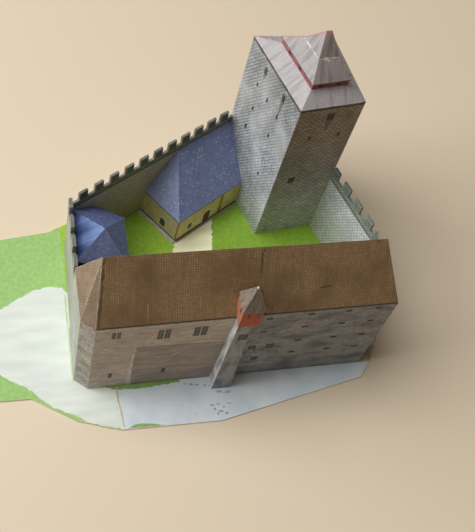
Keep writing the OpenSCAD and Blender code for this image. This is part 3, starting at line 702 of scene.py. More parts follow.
# %% Meadow and pale sheet
ground = side_of("ground_card", UP)
front_sheet = side_of("ground_card_front", UP)
YARD_FROM_WEST_MM = (-114.5 * MM - ground.corner.x) / MM
YARD_MIDDLE_MM = (-55 * MM - ground.corner.x) / MM
YARD_FROM_SOUTH_MM = (-86.0 * MM - ground.corner.y) / MM
SHADE_GROWS_OVER_MM = 40


def meadow(tree, place):
    """A mottled green wash, more saturated in the courtyard, where painted shade darkens it toward the
    east.
    """
    grass = smudge(tree, place, "#9cc275", "#89b462", 1.0, 2.2, 5, 0.35, 0.7, detail=4.0)
    bright = smudge(tree, place, "#9cc431", "#84ae24", 1.0, 1.6, 6, 0.35, 0.7, detail=4.0)
    spot = add(tree, "SeparateXYZ", {"Vector": place}).outputs
    reach = {"Value": spot["X"], "From Min": YARD_MIDDLE_MM, "From Max": YARD_MIDDLE_MM + SHADE_GROWS_OVER_MM}
    deeper = {0: add(tree, "MapRange", reach).outputs[0], 6: bright, 7: colour("#e0e6fa")}
    yard = add(tree, "Mix", deeper, data_type="RGBA", blend_type="MULTIPLY").outputs[2]
    east = add(tree, "Math", {0: spot["X"], 1: YARD_FROM_WEST_MM}, operation="GREATER_THAN").outputs[0]
    behind = add(tree, "Math", {0: spot["Y"], 1: YARD_FROM_SOUTH_MM}, operation="GREATER_THAN").outputs[0]
    inside = add(tree, "Math", {0: east, 1: behind}, operation="MULTIPLY").outputs[0]
    return add(tree, "Mix", {0: inside, 6: grass, 7: yard}, data_type="RGBA").outputs[2]


def pale_sheet(tree, place):
    """A pale blue-white wash with a few grey-green specks."""
    body = smudge(tree, place, "#dde4e6", "#c2cfd9", 1.0, 14, 3, 0.3, 0.75, detail=3.0)
    return smudge(tree, place, body, "#8fa08c", 0.5, 1.1, 8, 0.68, 0.76, detail=1.0)


dress("ground_card", [ground], meadow, name="meadow", wear=0.3)
dress("ground_card_front", [front_sheet], pale_sheet, name="pale_ground", wear=0.3)

# %% [markdown]
# ## Shapes printed on the walls
# Windows, doors and lines are ink too, but they have crisp outlines at places that matter. Each is
# made as a thin prism that stands a few hundredths of a millimetre out of its sheet, so it keeps its
# outline from every side. Where shapes overlap, the upper one stands a level of 0.01 mm or more
# higher. Shapes on one wall are merged into one object.

# %% Outlines
def on_side(side, u, v, lift=0.0):
    """The point u mm along and v mm up a side, lifted off it."""
    return side.corner + (side.along * u + side.up * v + side.normal * lift) * MM


def corners_at(side, level, reach=0.3):
    """How far along a side its node's corners lie that are level mm up it."""
    places = set()
    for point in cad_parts[side.node].data.vertices:
        step = (point.co - side.corner) / MM
        if abs(step.dot(side.normal)) < reach and abs(step.dot(side.up) - level) < reach:
            places.add(round(step.dot(side.along), 1))
    return sorted(places)


def oblong(u, v, width, height):
    """A rectangle round its middle."""
    a, b = width / 2, height / 2
    return [(u - a, v - b), (u + a, v - b), (u + a, v + b), (u - a, v + b)]


def arched(u, v, width, height, steps=6):
    """An opening with a round head, round its middle."""
    a, b = width / 2, height / 2
    turns = [math.pi * i / steps for i in range(steps + 1)]
    head = [(u + a * math.cos(turn), v + b - a + a * math.sin(turn)) for turn in turns]
    return [(u - a, v - b), (u + a, v - b)] + head


def stroke(u0, v0, u1, v1, width):
    """A straight pen stroke between two points."""
    run = Vector((u1 - u0, v1 - v0)).normalized() * width / 2
    a, b = run.y, run.x
    return [(u0 + a, v0 - b), (u1 + a, v1 - b), (u1 - a, v1 + b), (u0 - a, v0 + b)]


def ragged(outline, step, reach, seed):
    """An outline with its sides cut into steps and its points pushed by up to reach mm."""
    chance = random.Random(seed)
    points = []
    for i, start in enumerate(outline):
        end = outline[(i + 1) % len(outline)]
        run = Vector((end[0] - start[0], end[1] - start[1]))
        steps = max(1, round(run.length / step))
        side_way = Vector((-run.y, run.x)).normalized()
        for j in range(steps):
            push = side_way * chance.uniform(-reach, reach)
            points.append((start[0] + run.x * j / steps + push.x, start[1] + run.y * j / steps + push.y))
    return points


print("an arch has", len(arched(0, 0, 2, 4)), "corners")

# %% [markdown]
# One function makes the prisms. Each has a face in front, one sunk a little into the sheet, and a
# narrow face along every side of its outline.

# %% Prisms
PRINT_SINK_MM = 0.05
LEVELS_PER_MM = 100


def print_shapes(name, side, slot, *layers):
    """One object of thin printed prisms on a side. Each layer is (ink, level, outlines)."""
    mesh = bpy.data.meshes.new(name)
    work = bmesh.new()
    for number, (ink, level, outlines) in enumerate(layers):
        mesh.materials.append(ink)
        for outline in outlines:
            foot = [work.verts.new(on_side(side, u, v, -PRINT_SINK_MM)) for u, v in outline]
            head = [work.verts.new(on_side(side, u, v, level / LEVELS_PER_MM)) for u, v in outline]
            faces = [work.faces.new(head), work.faces.new(foot[::-1])]
            for i in range(len(outline)):
                j = (i + 1) % len(outline)
                faces.append(work.faces.new((foot[i], foot[j], head[j], head[i])))
            for face in faces:
                face.material_index = number
    bmesh.ops.recalc_face_normals(work, faces=work.faces)
    work.to_mesh(mesh)
    work.free()
    piece = bpy.data.objects.new(name, mesh)
    bpy.context.scene.collection.objects.link(piece)
    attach(piece, "root")
    print(name, "has", len(mesh.polygons), "faces")


# %% [markdown]
# Solid ink lies a little thicker and smoother than a tint, so windows and lines catch slightly more
# light. Each solid ink still varies from patch to patch, as cheap printing does.

# %% Solid inks
def solid_ink(name, thin, full, spot_mm=1.2, smooth=0.45, rough=0.62):
    """A solid printed ink that lies unevenly."""
    spots = (thin, full, 1.0, spot_mm, 3, 0.3, 0.7)
    return printed_card(name, [], smudge, *spots, wear=0.0, smooth=smooth, rough=rough)


pane_ink = solid_ink("offset_ink_window_pane", "#2a2d31", "#16181b")
keep_pane_ink = solid_ink("offset_ink_keep_window", "#464b42", "#292d27")
slit_ink = solid_ink("offset_ink_slit", "#3a3934", "#1f1f1c")
surround_ink = solid_ink("offset_ink_window_surround", "#d6d0c4", "#bfb7a9")
streak_ink = solid_ink("offset_ink_streak", "#7c807e", "#666a69")
brown_streak_ink = solid_ink("offset_ink_brown_streak", "#8d8272", "#776d5f")
# Besides printed lines, this ink paints the shadow lines under eaves and along the wall walk, and the shade
# in a roof's creases.
line_and_shadow_ink = solid_ink("offset_ink_line_and_painted_shadow", "#3d3b34", "#2b2a25")
white_ink = solid_ink("offset_ink_white", "#dcdad2", "#c8c6be")
door_ink = solid_ink("offset_ink_door", "#5c2a1c", "#431d13")
print("solid inks:", pane_ink.name, slit_ink.name, door_ink.name)

# %% [markdown]
# ## Windows on the keep
# Each wall of the keep has two dark windows, near the top or, once on the front, halfway down, and
# small slits. A stain runs down under each window and narrows on its way, two short white marks sit
# under the eave, and a dark line of painted shadow under the eave closes the wall at the top.

# %% Keep windows
KEEP_MARKS = {
    "keep_west_wall": (
        [(16.2, 127.2, 2.5, 5.6, 3.5), (34.5, 127.6, 2.5, 5.6, 13.0)],
        [
            (13.0, 110.3), (23.5, 110.2), (34.2, 109.6), (15.0, 90.3),
            (32.7, 88.7), (13.9, 70.6), (34.8, 51.0),
        ],
        [(12.1, 134.6), (35.4, 133.8)],
    ),
    "keep_front_wall": (
        [(18.0, 127.2, 3.8, 6.0, 11.0), (9.9, 63.4, 3.8, 5.2, 2.0)],
        [(10.8, 107.8), (26.9, 108.0)],
        [(7.2, 133.7), (27.8, 132.6)],
    ),
    "keep_north_wall": (
        [(12.0, 127.0, 2.5, 5.6, 5.0), (29.5, 127.0, 2.5, 5.6, 5.0)],
        [(10.0, 110.0), (21.0, 110.0), (32.0, 110.0), (12.0, 90.0), (30.0, 90.0)],
        [(9.0, 134.0), (32.0, 134.0)],
    ),
    "keep_east_wall": (
        [(12.0, 127.0, 2.5, 5.6, 5.0), (28.5, 127.0, 2.5, 5.6, 5.0)],
        [(9.0, 110.0), (20.0, 110.0), (31.0, 110.0), (20.0, 90.0)],
        [(9.0, 134.0), (31.0, 134.0)],
    ),
}
SLIT_MM = (1.2, 3.8)
TICK_MM = (1.6, 0.7)
EAVE_SHADOW_UP_MM = 135.5


def run_down(u, v, width, length, seed):
    """A stain that narrows as it runs down from (u, v)."""
    chance = random.Random(seed)
    left, right = [], []
    for i in range(6):
        half = width / 2 * (1 - 0.75 * i / 5) * chance.uniform(0.8, 1.15)
        left.append((u - half, v - length * i / 5))
        right.append((u + half, v - length * i / 5))
    return left + right[::-1]


for number, (node, (windows, slits, ticks)) in enumerate(KEEP_MARKS.items()):
    wall = keep_walls[node]
    stain_ink = brown_streak_ink if node == "keep_front_wall" else streak_ink
    print_shapes(
        node + "_windows", wall, "keep_stone_card",
        (stain_ink, 2, [run_down(u, v - h / 2, w, length, number) for u, v, w, h, length in windows]),
        (keep_pane_ink, 5, [oblong(u, v, w, h) for u, v, w, h, _ in windows]),
        (slit_ink, 5, [oblong(*slit, *SLIT_MM) for slit in slits]),
        (white_ink, 5, [oblong(*tick, *TICK_MM) for tick in ticks]),
        (line_and_shadow_ink, 3, [oblong(wall.width / 2, EAVE_SHADOW_UP_MM, wall.width - 0.2, 0.9)]),
    )

# %% [markdown]
# Two small dark windows stand in a row along each side of the red band. On the west they stand nearer
# its north end.

# %% Windows in the red band
BAND_WINDOWS = {"south": (0.25, 0.75), "east": (0.25, 0.75), "north": (0.25, 0.75), "west": (0.27, 0.6)}
for (name, shares), side in zip(BAND_WINDOWS.items(), band_sides):
    print_shapes(
        "keep_band_windows_" + name, side, "red_band_card",
        # The dark line along the top of each side is painted shadow under the cap's eave.
        (line_and_shadow_ink, 2, [oblong(side.width / 2, side.height - 0.4, side.width - 0.1, 0.7)]),
        (pane_ink, 5, [oblong(share * side.width, 1.9, 2.3, 1.8) for share in shares]),
    )

# %% [markdown]
# The upper roof is creased where its slope changes. Along the crease runs a thin broken white line,
# thicker in two places, that is partly ink cracked on the fold and partly a painted highlight on the
# bend, with a scuff below it on the front. The red pencil also ran along the folds on the north-west.

# %% Cracked creases on the keep's cap
CRACK_AND_HIGHLIGHT_DASHES = [(0.0, 0.3, 0.16), (0.22, 0.46, 0.95), (0.5, 1.0, 0.16), (0.66, 0.84, 0.6)]
crack_and_highlight_ink = solid_ink("bare_core_crack_and_painted_highlight", "#e2dcdc", "#c6bcbe", spot_mm=1.4)
for name, side in zip(FOUR_WAYS, cap_slopes[:4]):
    bend = corners_at(side, side.height)
    start, length, line = bend[0] + 0.4, bend[-1] - bend[0] - 0.8, side.height - 0.35
    pieces = [
        ragged(stroke(start + a * length, line, start + b * length, line, thick), 0.9, thick / 4, 3)
        for a, b, thick in CRACK_AND_HIGHLIGHT_DASHES
    ]
    if name == "south":
        pieces.append(ragged(oblong(start + 0.42 * length, line - 1.1, 2.6, 0.5), 0.7, 0.25, 2))
    print_shapes("keep_cap_crease_" + name, side, "keep_roof_card", (crack_and_highlight_ink, 3, pieces))
pencil_ink = solid_ink("red_pencil_on_fold", "#bd9298", "#a9767e", spot_mm=1.5, smooth=0.5, rough=0.7)
PENCILLED = {"foot": lower_slopes[3], "cap": cap_slopes[3], "tip": cap_slopes[7]}
for name, side in PENCILLED.items():
    foot, head = corners_at(side, 0)[0], corners_at(side, side.height)[0]
    line = stroke(foot + 0.4, 0.2, head + 0.4, side.height - 0.2, 0.35)
    print_shapes("keep_pencil_" + name, side, "keep_roof_card", (pencil_ink, 2, [line]))

# %% [markdown]
# ## The hall's windows
# Left of the turret are three large windows of two leaves each and two low slits, with a wide patch
# of darker plaster between them. The bars are gaps between dark panes that lie over a paler shape.

# %% Windows left of the turret
MIDDLE_BAR_MM = 0.5
LEFT_WINDOWS = [(10.9, 75.4, 4.6, 8.4, 2), (35.4, 71.6, 6.6, 12.4, 3), (54.2, 71.4, 7.0, 11.8, 3)]
LOW_SLITS = [(11.4, 17.8, 1.9, 6.4), (40.3, 18.5, 2.0, 6.4)]
PLASTER = [(22.6, 56.8), (22.4, 36.0), (22.8, 14.2), (23.8, 0.4), (70.0, 0.4), (70.0, 53.6), (46.0, 55.2)]
PALE_EDGE = [
    (22.4, 55.0), (22.5, 36.0), (22.9, 14.0), (23.9, 0.5),
    (21.4, 0.5), (20.6, 14.0), (20.9, 34.0), (21.8, 50.0),
]
LEFT_BRICKS = [
    (28.9, 72.0, 3.0, 3.4), (27.6, 67.5, 1.6, 2.0), (41.4, 72.0, 2.6, 6.0), (43.6, 66.5, 2.2, 3.6),
    (62.4, 63.5, 3.6, 2.8), (59.5, 60.5, 2.0, 1.6), (48.8, 76.5, 1.8, 3.0), (30.5, 60.5, 3.0, 1.6),
]


def panes(u, v, width, height, across, rows, bar=0.4):
    """The dark panes between the glazing bars of one window."""
    w, h = (width - bar * (across - 1)) / across, (height - bar * (rows - 1)) / rows
    left, low = u - width / 2 + w / 2, v - height / 2 + h / 2
    places = [(left + i * (w + bar), low + j * (h + bar)) for i in range(across) for j in range(rows)]
    return [oblong(*place, w, h) for place in places]


def leaves(u, v, width, height, rows):
    """A window of two leaves with a wide bar between them."""
    leaf = (width - MIDDLE_BAR_MM) / 2
    shift = (leaf + MIDDLE_BAR_MM) / 2
    left, right = [panes(middle, v, leaf, height, 2, rows, 0.2) for middle in (u - shift, u + shift)]
    return left + right


WASH_INKS = ("#baafa6", "#a49991", "#827871")
wash = (rubble, 33, WASH_INKS, "#827a74", "#9c7f6c", 0.25)
plaster_wash = printed_card("offset_wash_hall_plaster", [hall_left], *wash, wear=0.0)
brick_ink = solid_ink("offset_ink_brick_patch", "#c2a48e", "#b58a6a", spot_mm=1.2)
pale_plaster_ink = solid_ink("offset_ink_pale_plaster", "#d8cdc1", "#c4b8ac", spot_mm=3)
glazing_ink = solid_ink("offset_ink_glazing_bar", "#c6bdb0", "#a79e92")
print_shapes(
    "hall_left_windows", hall_left, "hall_wall_card",
    (plaster_wash, 1, [ragged(PLASTER, 2.5, 0.25, 12)]),
    (brick_ink, 2, [ragged(oblong(*patch), 0.8, 0.5, i) for i, patch in enumerate(LEFT_BRICKS)]),
    (glazing_ink, 3, [oblong(u, v, w + 0.3, h + 0.3) for u, v, w, h, _ in LEFT_WINDOWS]),
    (brown_streak_ink, 4, [oblong(u, v, w, h) for u, v, w, h, _ in LEFT_WINDOWS]),
    (keep_pane_ink, 5, [pane for window in LEFT_WINDOWS for pane in leaves(*window)]),
    (surround_ink, 5, [oblong(u, v, MIDDLE_BAR_MM - 0.1, h) for u, v, w, h, _ in LEFT_WINDOWS]),
    (slit_ink, 5, [oblong(*slit) for slit in LOW_SLITS]),
    (pale_plaster_ink, 2, [ragged(PALE_EDGE, 1.6, 0.3, 4)]),
    (line_and_shadow_ink, 2, [stroke(23, 56.9, 69, 53.8, 0.25), stroke(24, 12.8, 69, 16.6, 0.25)]),
    (surround_ink, 4, [ragged(stroke(42.6, 40.2, 46.4, 43.8, 1.0), 1.0, 0.25, 5)]),
)

# %% [markdown]
# The roof has a dark line of painted shadow along its eave, a dark band of painted shade beside its left
# hip and a few dark marks of painted shade in creases where it was bent. Along the folds of the two
# small west facets the ink has cracked into dashes.

# %% Marks on the hall's roof
def dashes(lines, width, dash=1.3, gap=0.5):
    """Each line broken into short strokes."""
    pieces = []
    for u0, v0, u1, v1 in lines:
        length = math.dist((u0, v0), (u1, v1))
        for i in range(int(length / (dash + gap))):
            a, b = i * (dash + gap) / length, (i * (dash + gap) + dash) / length
            ends = (u0 + (u1 - u0) * a, v0 + (v1 - v0) * a, u0 + (u1 - u0) * b, v0 + (v1 - v0) * b)
            pieces.append(stroke(*ends, width))
    return pieces


roof_front = side_of("hall_roof_front", HALL_SLOPES["hall_roof_front"])
stain_and_hip_shade_ink = solid_ink("offset_ink_roof_stain_and_hip_shade", "#6a5540", "#57442f", spot_mm=3)
pale_tile_ink = solid_ink("offset_ink_pale_tile", "#a58c6a", "#927a5a", spot_mm=2)
HIP_SHADE = [(0.9, 1.0), (1.8, 1.0), (5.4, roof_front.height - 1), (4.2, roof_front.height - 1)]
RIDGE_MARKS = [(82.9, 38.0, 0.9, 1.0), (141.0, 38.5, 0.9, 1.0)]
print_shapes(
    "hall_roof_marks", roof_front, "hall_roof_card",
    (stain_and_hip_shade_ink, 2, [run_down(81.9, 37.0, 1.4, 14.5, 5)]),
    (line_and_shadow_ink, 3, [stroke(113.2, 13.6, 119.4, 14.3, 0.6)]),
    (line_and_shadow_ink, 2, [stroke(0.6, 0.3, roof_front.width - 0.6, 0.3, 0.6)]),
    (stain_and_hip_shade_ink, 1, [ragged(HIP_SHADE, 2.2, 0.45, 7)]),
    (line_and_shadow_ink, 3, [oblong(*mark) for mark in RIDGE_MARKS]),
    (pale_tile_ink, 2, [run_down(25.7, 12.4, 0.8, 11.6, 8)]),
)
rim_ink = solid_ink("bare_core_hip", "#b5a58c", "#94836a", spot_mm=1.0)
for node in ("hall_roof_corner_hip", "hall_roof_west_hip"):
    side = side_of(node, TAN_SLOPES[node])
    foot, head = corners_at(side, 0), corners_at(side, side.height)
    rim = [(foot[-1] - 0.4, 0.4, head[-1] - 0.3, side.height - 0.5)]
    if node == "hall_roof_corner_hip":
        rim.append((foot[0] + 0.4, 0.4, head[0] + 0.3, side.height - 0.5))
    print_shapes(node + "_rims", side, "hall_roof_card", (rim_ink, 3, dashes(rim, 0.26)))

# %% [markdown]
# Right of the turret are four rows of plain dark windows and three with bars, drawn rather crookedly.
# Their places are measured from the left end of the whole front, so they are shifted to this sheet.

# %% Windows right of the turret
RIGHT_START = (hall_right.corner - hall_left.corner).dot(hall_left.along) / MM
RIGHT_COLUMNS = [110.6, 130.7, 146.6]
RIGHT_ROWS = {81.0: (3.4, 2.8), 64.3: (3.4, 2.8), 45.0: (3.6, 3.0), 28.0: (3.6, 3.0)}
NEAR_TURRET = [(88.9, 79.4, 3.4, 2.8), (88.7, 61.9, 3.4, 2.8)]
BARRED_WINDOWS = [(86.2, 40.5, 4.2, 5.4), (96.0, 40.8, 4.0, 5.8), (90.3, 23.6, 3.8, 5.0)]
RIGHT_BRICKS = [
    (110.6, 69.6, 3.6, 3.0), (113.6, 66.0, 1.8, 1.8), (99.2, 54.4, 3.6, 2.6), (96.6, 51.0, 2.0, 2.0),
    (124.9, 75.3, 3.0, 2.6), (150.8, 58.4, 2.2, 3.6), (149.0, 53.0, 1.8, 2.0), (137.3, 77.2, 3.8, 1.8),
    (119.0, 40.0, 2.4, 2.0), (139.0, 58.0, 2.6, 1.8), (101.0, 76.0, 2.2, 1.8), (142.0, 48.0, 2.0, 1.6),
]


def on_right(marks):
    """Marks measured from the front's left end, as places on the right sheet."""
    return [(u - RIGHT_START, v, w, h) for u, v, w, h in marks]


in_rows = [(u, v, w, h) for u in RIGHT_COLUMNS for v, (w, h) in RIGHT_ROWS.items()]
right_windows = on_right(in_rows + NEAR_TURRET)
barred = on_right(BARRED_WINDOWS)
red_brick_ink = solid_ink("offset_ink_red_brick_patch", "#977a73", "#a2665a", spot_mm=1.2)
print_shapes(
    "hall_right_windows", hall_right, "hall_wall_card",
    (red_brick_ink, 2, [ragged(oblong(*m), 0.8, 0.45, i) for i, m in enumerate(on_right(RIGHT_BRICKS))]),
    (glazing_ink, 2, [oblong(u, v - h / 2 - 0.35, w + 0.4, 0.4) for u, v, w, h in right_windows]),
    (streak_ink, 3, [oblong(*window) for window in barred]),
    (pane_ink, 5, [pane for window in barred for pane in panes(*window, 2, 2, bar=0.25)]),
    (pane_ink, 5, [oblong(*window) for window in right_windows]),
)

# %% [markdown]
# The back and the east end don't show in the photograph, so they get plain rows in the same style.

# %% Windows on the hall's hidden sides
BACK_WINDOWS = [(14 + i * 19.3, v) for i in range(8) for v in (68, 34)]
EAST_WINDOWS = [(u, v) for u in (8.5, 24) for v in (80, 63, 45, 28)]
print_shapes(
    "hall_back_windows", hall_walls["hall_back_wall"], "hall_wall_card",
    (surround_ink, 3, [oblong(u, v, 4.6, 7.4) for u, v in BACK_WINDOWS]),
    (pane_ink, 5, [pane for u, v in BACK_WINDOWS for pane in panes(u, v, 3.6, 6.4, 2, 2)]),
)
print_shapes(
    "hall_east_windows", hall_walls["hall_east_wall"], "hall_wall_card",
    (pane_ink, 5, [oblong(u, v, 3.4, 3.0) for u, v in EAST_WINDOWS]),
)

# %% [markdown]
# ## Windows on the turret, the house and the gatehouse
# The turret has narrow slits near its eaves and one barred window in the shaft. Where its little roof
# comes to a point, the ink has rubbed off and the tip is white.

# %% Slits, shaft window and white tip
turret_front, turret_west = turret_sides[:2]
TURRET_SILL_MM = turret_front.height - 8.0
TURRET_TIP_MM = 2.2
SHAFT_WINDOW = (6.85, 71.0)
print_shapes(
    "turret_front_slits", turret_front, "turret_card",
    (pane_ink, 5, [oblong(u, TURRET_SILL_MM + 3.0, 1.1, 5.0) for u in (3.6, 8.4)]),
)
print_shapes(
    "turret_west_slit", turret_west, "turret_card",
    (pane_ink, 5, [oblong(7.0, TURRET_SILL_MM + 2.6, 1.1, 4.6)]),
)
for name, side in zip(FOUR_WAYS, turret_slopes):
    top = corners_at(side, side.height)
    base, peak = side.height - TURRET_TIP_MM, side.height - 0.1
    tip = [(top[0] - 0.5, base), (top[-1] + 0.5, base), (top[-1], peak), (top[0] - 0.05, peak)]
    print_shapes("turret_tip_" + name, side, "turret_roof_card", (white_ink, 3, [tip]))
print_shapes(
    "turret_shaft_window", shaft_sides[0], "hall_wall_card",
    (streak_ink, 3, [oblong(*SHAFT_WINDOW, 5.2, 7.4)]),
    (pane_ink, 5, panes(*SHAFT_WINDOW, 5.0, 7.2, 3, 2, bar=0.22)),
)

# %% [markdown]
# The house has a dark red door with a round head, and small arched windows with pale surrounds. A
# brown plinth runs along its foot. The gatehouse's openings are hidden in the photograph, so they
# repeat the same plain forms.

# %% Openings of the house and the gatehouse
WING_LEFT_MM, WING_RIGHT_MM = 32.4, 34.6
GATE_PANE_UP_MM = 30
plinth_and_corner_shade_ink = solid_ink("offset_ink_plinth_and_corner_shade", "#5b4a2c", "#43351f")
warm_surround_ink = solid_ink("offset_ink_ochre_surround", "#fffcee", "#f3ead0")
leaded_ink = solid_ink("offset_ink_leaded_pane", "#4a5238", "#2f3626")
# The strip of darker plaster right of the wing's line is painted shade, and the dark lines at that step and
# at the corners of both walls are painted shade in the folds.
shade = (plaster, 74, "#ae9c66", "#968552", "#72683c")
shaded_plaster = printed_card("offset_wash_shaded_plaster", [house_front], *shade, wear=0.0)
front_w, side_w, gate_east = house_front.width, house_side.width, gate_walls["east"]
wing = [(WING_LEFT_MM, 0.1), (WING_RIGHT_MM, 0.1), (WING_RIGHT_MM, 22), (WING_LEFT_MM, 22)]
wing_line = stroke(WING_LEFT_MM, 1.4, WING_LEFT_MM, 21.5, 0.5)
print_shapes(
    "house_front_openings", house_front, "house_wall_card",
    (shaded_plaster, 1, [wing]),
    (plinth_and_corner_shade_ink, 2, [oblong(front_w / 2, 0.9, front_w - 0.4, 1.8)]),
    (plinth_and_corner_shade_ink, 3, [wing_line, stroke(0.3, 1.4, 0.3, 22.5, 0.4)]),
    (warm_surround_ink, 4, [arched(10.0, 9.6, 4.4, 7.4), arched(22.9, 7.9, 6.2, 14.2)]),
    (leaded_ink, 6, [arched(10.0, 9.4, 3.4, 6.4)]),
    (door_ink, 6, [arched(22.9, 7.5, 5.4, 13.2)]),
)
print_shapes(
    "house_side_window", house_side, "house_wall_card",
    (plinth_and_corner_shade_ink, 2, [oblong(side_w / 2, 1.0, side_w - 0.4, 2.0)]),
    (plinth_and_corner_shade_ink, 3, [stroke(side_w - 0.3, 1.4, side_w - 0.3, 22.5, 0.4)]),
    (warm_surround_ink, 4, [arched(17.0, 9.2, 5.0, 9.0)]),
    (leaded_ink, 6, [arched(17.0, 9.0, 4.0, 8.0)]),
)
print_shapes(
    "gatehouse_east_openings", gate_east, "gatehouse_wall_card",
    (surround_ink, 4, [arched(gate_east.width / 2, 6.6, 8.0, 13.2)]),
    (door_ink, 6, [arched(gate_east.width / 2, 6.2, 6.8, 12.0)]),
    (pane_ink, 6, [oblong(u, GATE_PANE_UP_MM, 2.4, 4.0) for u in (6.0, gate_east.width - 6.0)]),
)
print_shapes(
    "gatehouse_south_openings", gate_walls["south"], "gatehouse_wall_card",
    (pane_ink, 6, [oblong(u, GATE_PANE_UP_MM, 2.4, 4.0) for u in (7.0, 14.7, 22.4)]),
)

# %% [markdown]
# ## The wall walk and the merlons
# The walk behind the battlements is only a dark line along the inner side of each wall, painted shadow
# of the ledge, with the merlons printed darker above it; on the north wall their dark is deepened with
# painted shade. The dark patches stop short of the cut edge, which leaves a pale rim.

# %% Wall-walk lines and dark merlons
WALK_SHADOW_MM = 1.1
SILL_MM, RIM_MM = 5.2, 1.3
LEFT_RIM_MM, RIGHT_RIM_MM = 1.0, 0.2
north_shaded_merlon_ink = solid_ink("offset_ink_dark_merlon_and_painted_shade", "#5c6055", "#474b42")
grey_merlon_ink = solid_ink("offset_ink_grey_merlon", "#858d86", "#666f69")
INNER_SIDES = {
    "north_parapet": (0, north_shaded_merlon_ink),
    "west_parapet": (1, grey_merlon_ink),
    "east_parapet": (0, grey_merlon_ink),
}
for node, (number, ink) in INNER_SIDES.items():
    side = parapets[node][number]
    ends = corners_at(side, side.height, reach=0.1)
    spans = [(start + LEFT_RIM_MM, end - RIGHT_RIM_MM) for start, end in zip(ends[::2], ends[1::2])]
    print(node, "has dark merlons at", [(round(a, 1), round(b, 1)) for a, b in spans])
    rim = side.height - RIM_MM
    print_shapes(
        node + "_print", side, "curtain_wall_card",
        (line_and_shadow_ink, 3, [stroke(0.2, 0.5, side.width - 0.2, 0.5, WALK_SHADOW_MM)]),
        (ink, 4, [[(a, SILL_MM), (b, SILL_MM), (b, rim), (a, rim)] for a, b in spans]),
    )

# %% [markdown]
# ## The painted path
# A cream path runs from the meadow in the west along the hall, and a yellower one from the door of
# the house across the courtyard. Paint has a ragged edge, so each outline is cut into short steps and
# every point is pushed a little in or out, with a fixed seed so that it comes out the same each time.

# %% Paints and paths
def on_ground(points):
    """World millimetres as places on the ground card."""
    return [(x - ground.corner.x / MM, y - ground.corner.y / MM) for x, y in points]


def brushed(name, pale, dark):
    """Water paint with the long soft marks of a brush."""
    marks = (pale, dark, 1.0, 5, 7, 0.35, 0.7, (0.22, 1, 1), 4.0)
    return printed_card(name, [], smudge, *marks, wear=0.0, smooth=0.6, rough=0.8)


cream_paint = brushed("gouache_cream_path", "#dde3da", "#cdd4ce")
yard_paint = brushed("gouache_yard_path", "#fdfbd6", "#e9e5bc")
fringe_paint = solid_ink("gouache_green_fringe", "#c9d3a2", "#aebf86", spot_mm=3, smooth=0.6, rough=0.8)
grass_paint = solid_ink("gouache_grass_strip", "#90b168", "#78a04e", spot_mm=2, smooth=0.6, rough=0.8)
kerb_ink = solid_ink("offset_ink_kerb", "#a39f92", "#868277", spot_mm=0.9)
WEST_PATH = [
    (-166.1, -44), (-158, -42), (-151.9, -38), (-146, -33.8), (-140.9, -30.9), (-133, -27.4),
    (-124.8, -25.3), (-116.7, -26.4), (-113.2, -31), (-112.2, -36), (-112.2, -80), (-107, -87.4),
    (-92.2, -87.4), (-89.7, -112.4), (-93, -112.2), (-100.5, -110.0), (-109.8, -107.0),
    (-114.4, -103.6), (-118.3, -101.2), (-122.7, -99.6), (-127, -97.2), (-132.7, -92.4),
    (-139.4, -85.6), (-146.2, -81.2), (-154.4, -76), (-160, -75), (-166.1, -74),
]
YARD_PATH = [
    (-48.6, -2.6), (-36, 5.6), (-24.5, 12.6), (-25.4, 6), (-25.8, 0), (-27, -8), (-29, -20), (-33, -36),
    (-36, -53.5), (-62, -53.5), (-60, -36), (-54, -18), (-50.2, -8),
]
HOUSE_KERB = [(-48.6, -1.7), (-47.9, -2.9), (-7.9, 21.6), (-8.5, 22.8)]
print_shapes(
    "west_path", ground, "painted_ground_card",
    (fringe_paint, 2, [ragged(on_ground(WEST_PATH), 2.2, 0.9, 4)]),
    (cream_paint, 4, [ragged(on_ground(WEST_PATH), 2.0, 0.5, 5)]),
)
print_shapes(
    "courtyard_path", ground, "painted_ground_card",
    (fringe_paint, 2, [ragged(on_ground(YARD_PATH), 1.8, 0.9, 7)]),
    (yard_paint, 4, [ragged(on_ground(YARD_PATH), 1.6, 0.5, 8)]),
    (kerb_ink, 6, [on_ground(HOUSE_KERB)]),
)

# %% [markdown]
# Grass and a few spots of moss follow the hall's foot, and a thin line shows where the pale sheet is
# joined on. The small margin east of the hall was left unpainted, and a scrap of white card lies on it.

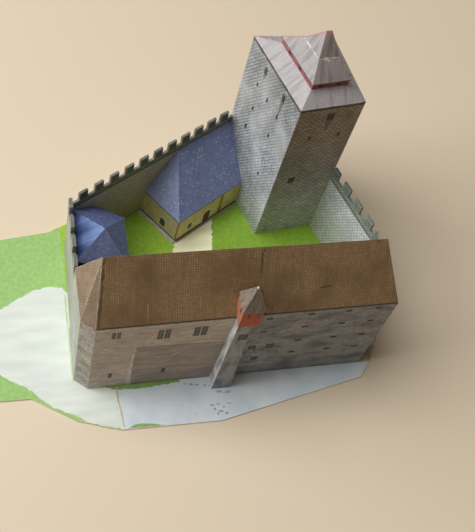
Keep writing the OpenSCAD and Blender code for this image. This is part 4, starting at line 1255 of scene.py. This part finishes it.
# %% Grass, moss and the bare margin
seam_ink = solid_ink("offset_ink_seam", "#cdc08a", "#b5a66c")
moss_ink = solid_ink("gouache_moss", "#a3b5b1", "#869b9a", spot_mm=0.8, smooth=0.6, rough=0.8)
bare_ink = solid_ink("bare_card_margin", "#c9b596", "#b39c7c", spot_mm=5, smooth=0.7, rough=0.85)
GRASS_STRIP = [
    (-104, -87.4), (-57, -86.9), (-56, -88.4), (-66, -89.6), (-80, -90.6), (-93, -89.8), (-97, -88.6),
]
FRONT_FRINGE = [
    (-88.4, -112.8), (-67, -112.8), (-69, -112.3), (-73.4, -111.5), (-80.7, -110.7), (-84.7, -111.2),
]
WALL_FRINGE = [(-115.7, -83.5), (-114.8, -83.5), (-114.8, -31), (-115.7, -31)]
MARGIN = [(48.7, -85.5), (54.8, -85.5), (60.0, -75.5), (48.7, -75.5)]
LOOSE_TAB = [(56.9, -71.8), (61.4, -71.6), (59.6, -76.4), (56.6, -76.2)]
MOSS_SPOTS = [
    (-53.7, -90.1), (-50.3, -90.7), (-47.0, -91.1), (-42.6, -92.0), (-39.7, -92.2), (-35.1, -96.3),
    (-32.3, -97.2), (-30.0, -96.8), (-40.2, -103.7), (-38.8, -106.2), (-36.7, -103.5), (-35.6, -107.7),
    (-33.6, -105.5), (-32.4, -109.1), (-30.5, -103.5), (-37.4, -109.0),
]
seam_start, seam_end = on_ground([(-92.4, -88.6), (-90, -112)])
grass = ragged(on_ground(GRASS_STRIP), 1.2, 0.35, 9)
front_grass = ragged(on_ground(FRONT_FRINGE), 1.4, 0.2, 11)
moss = [
    ragged(oblong(x, y, 1.2 + 0.6 * (i % 3), 0.7 + 0.5 * (i % 2)), 0.5, 0.3, i)
    for i, (x, y) in enumerate(on_ground(MOSS_SPOTS))
]
print_shapes(
    "grass_and_moss", ground, "painted_ground_card",
    (grass_paint, 6, [grass, front_grass]),
    (fringe_paint, 5, [ragged(on_ground(WALL_FRINGE), 1.6, 0.2, 12)]),
    (seam_ink, 7, [ragged(stroke(*seam_start, *seam_end, 0.7), 2, 0.15, 6)]),
    (moss_ink, 5, moss),
    (bare_ink, 2, [on_ground(MARGIN)]),
    (white_ink, 5, [ragged(on_ground(LOOSE_TAB), 1.2, 0.4, 3)]),
)
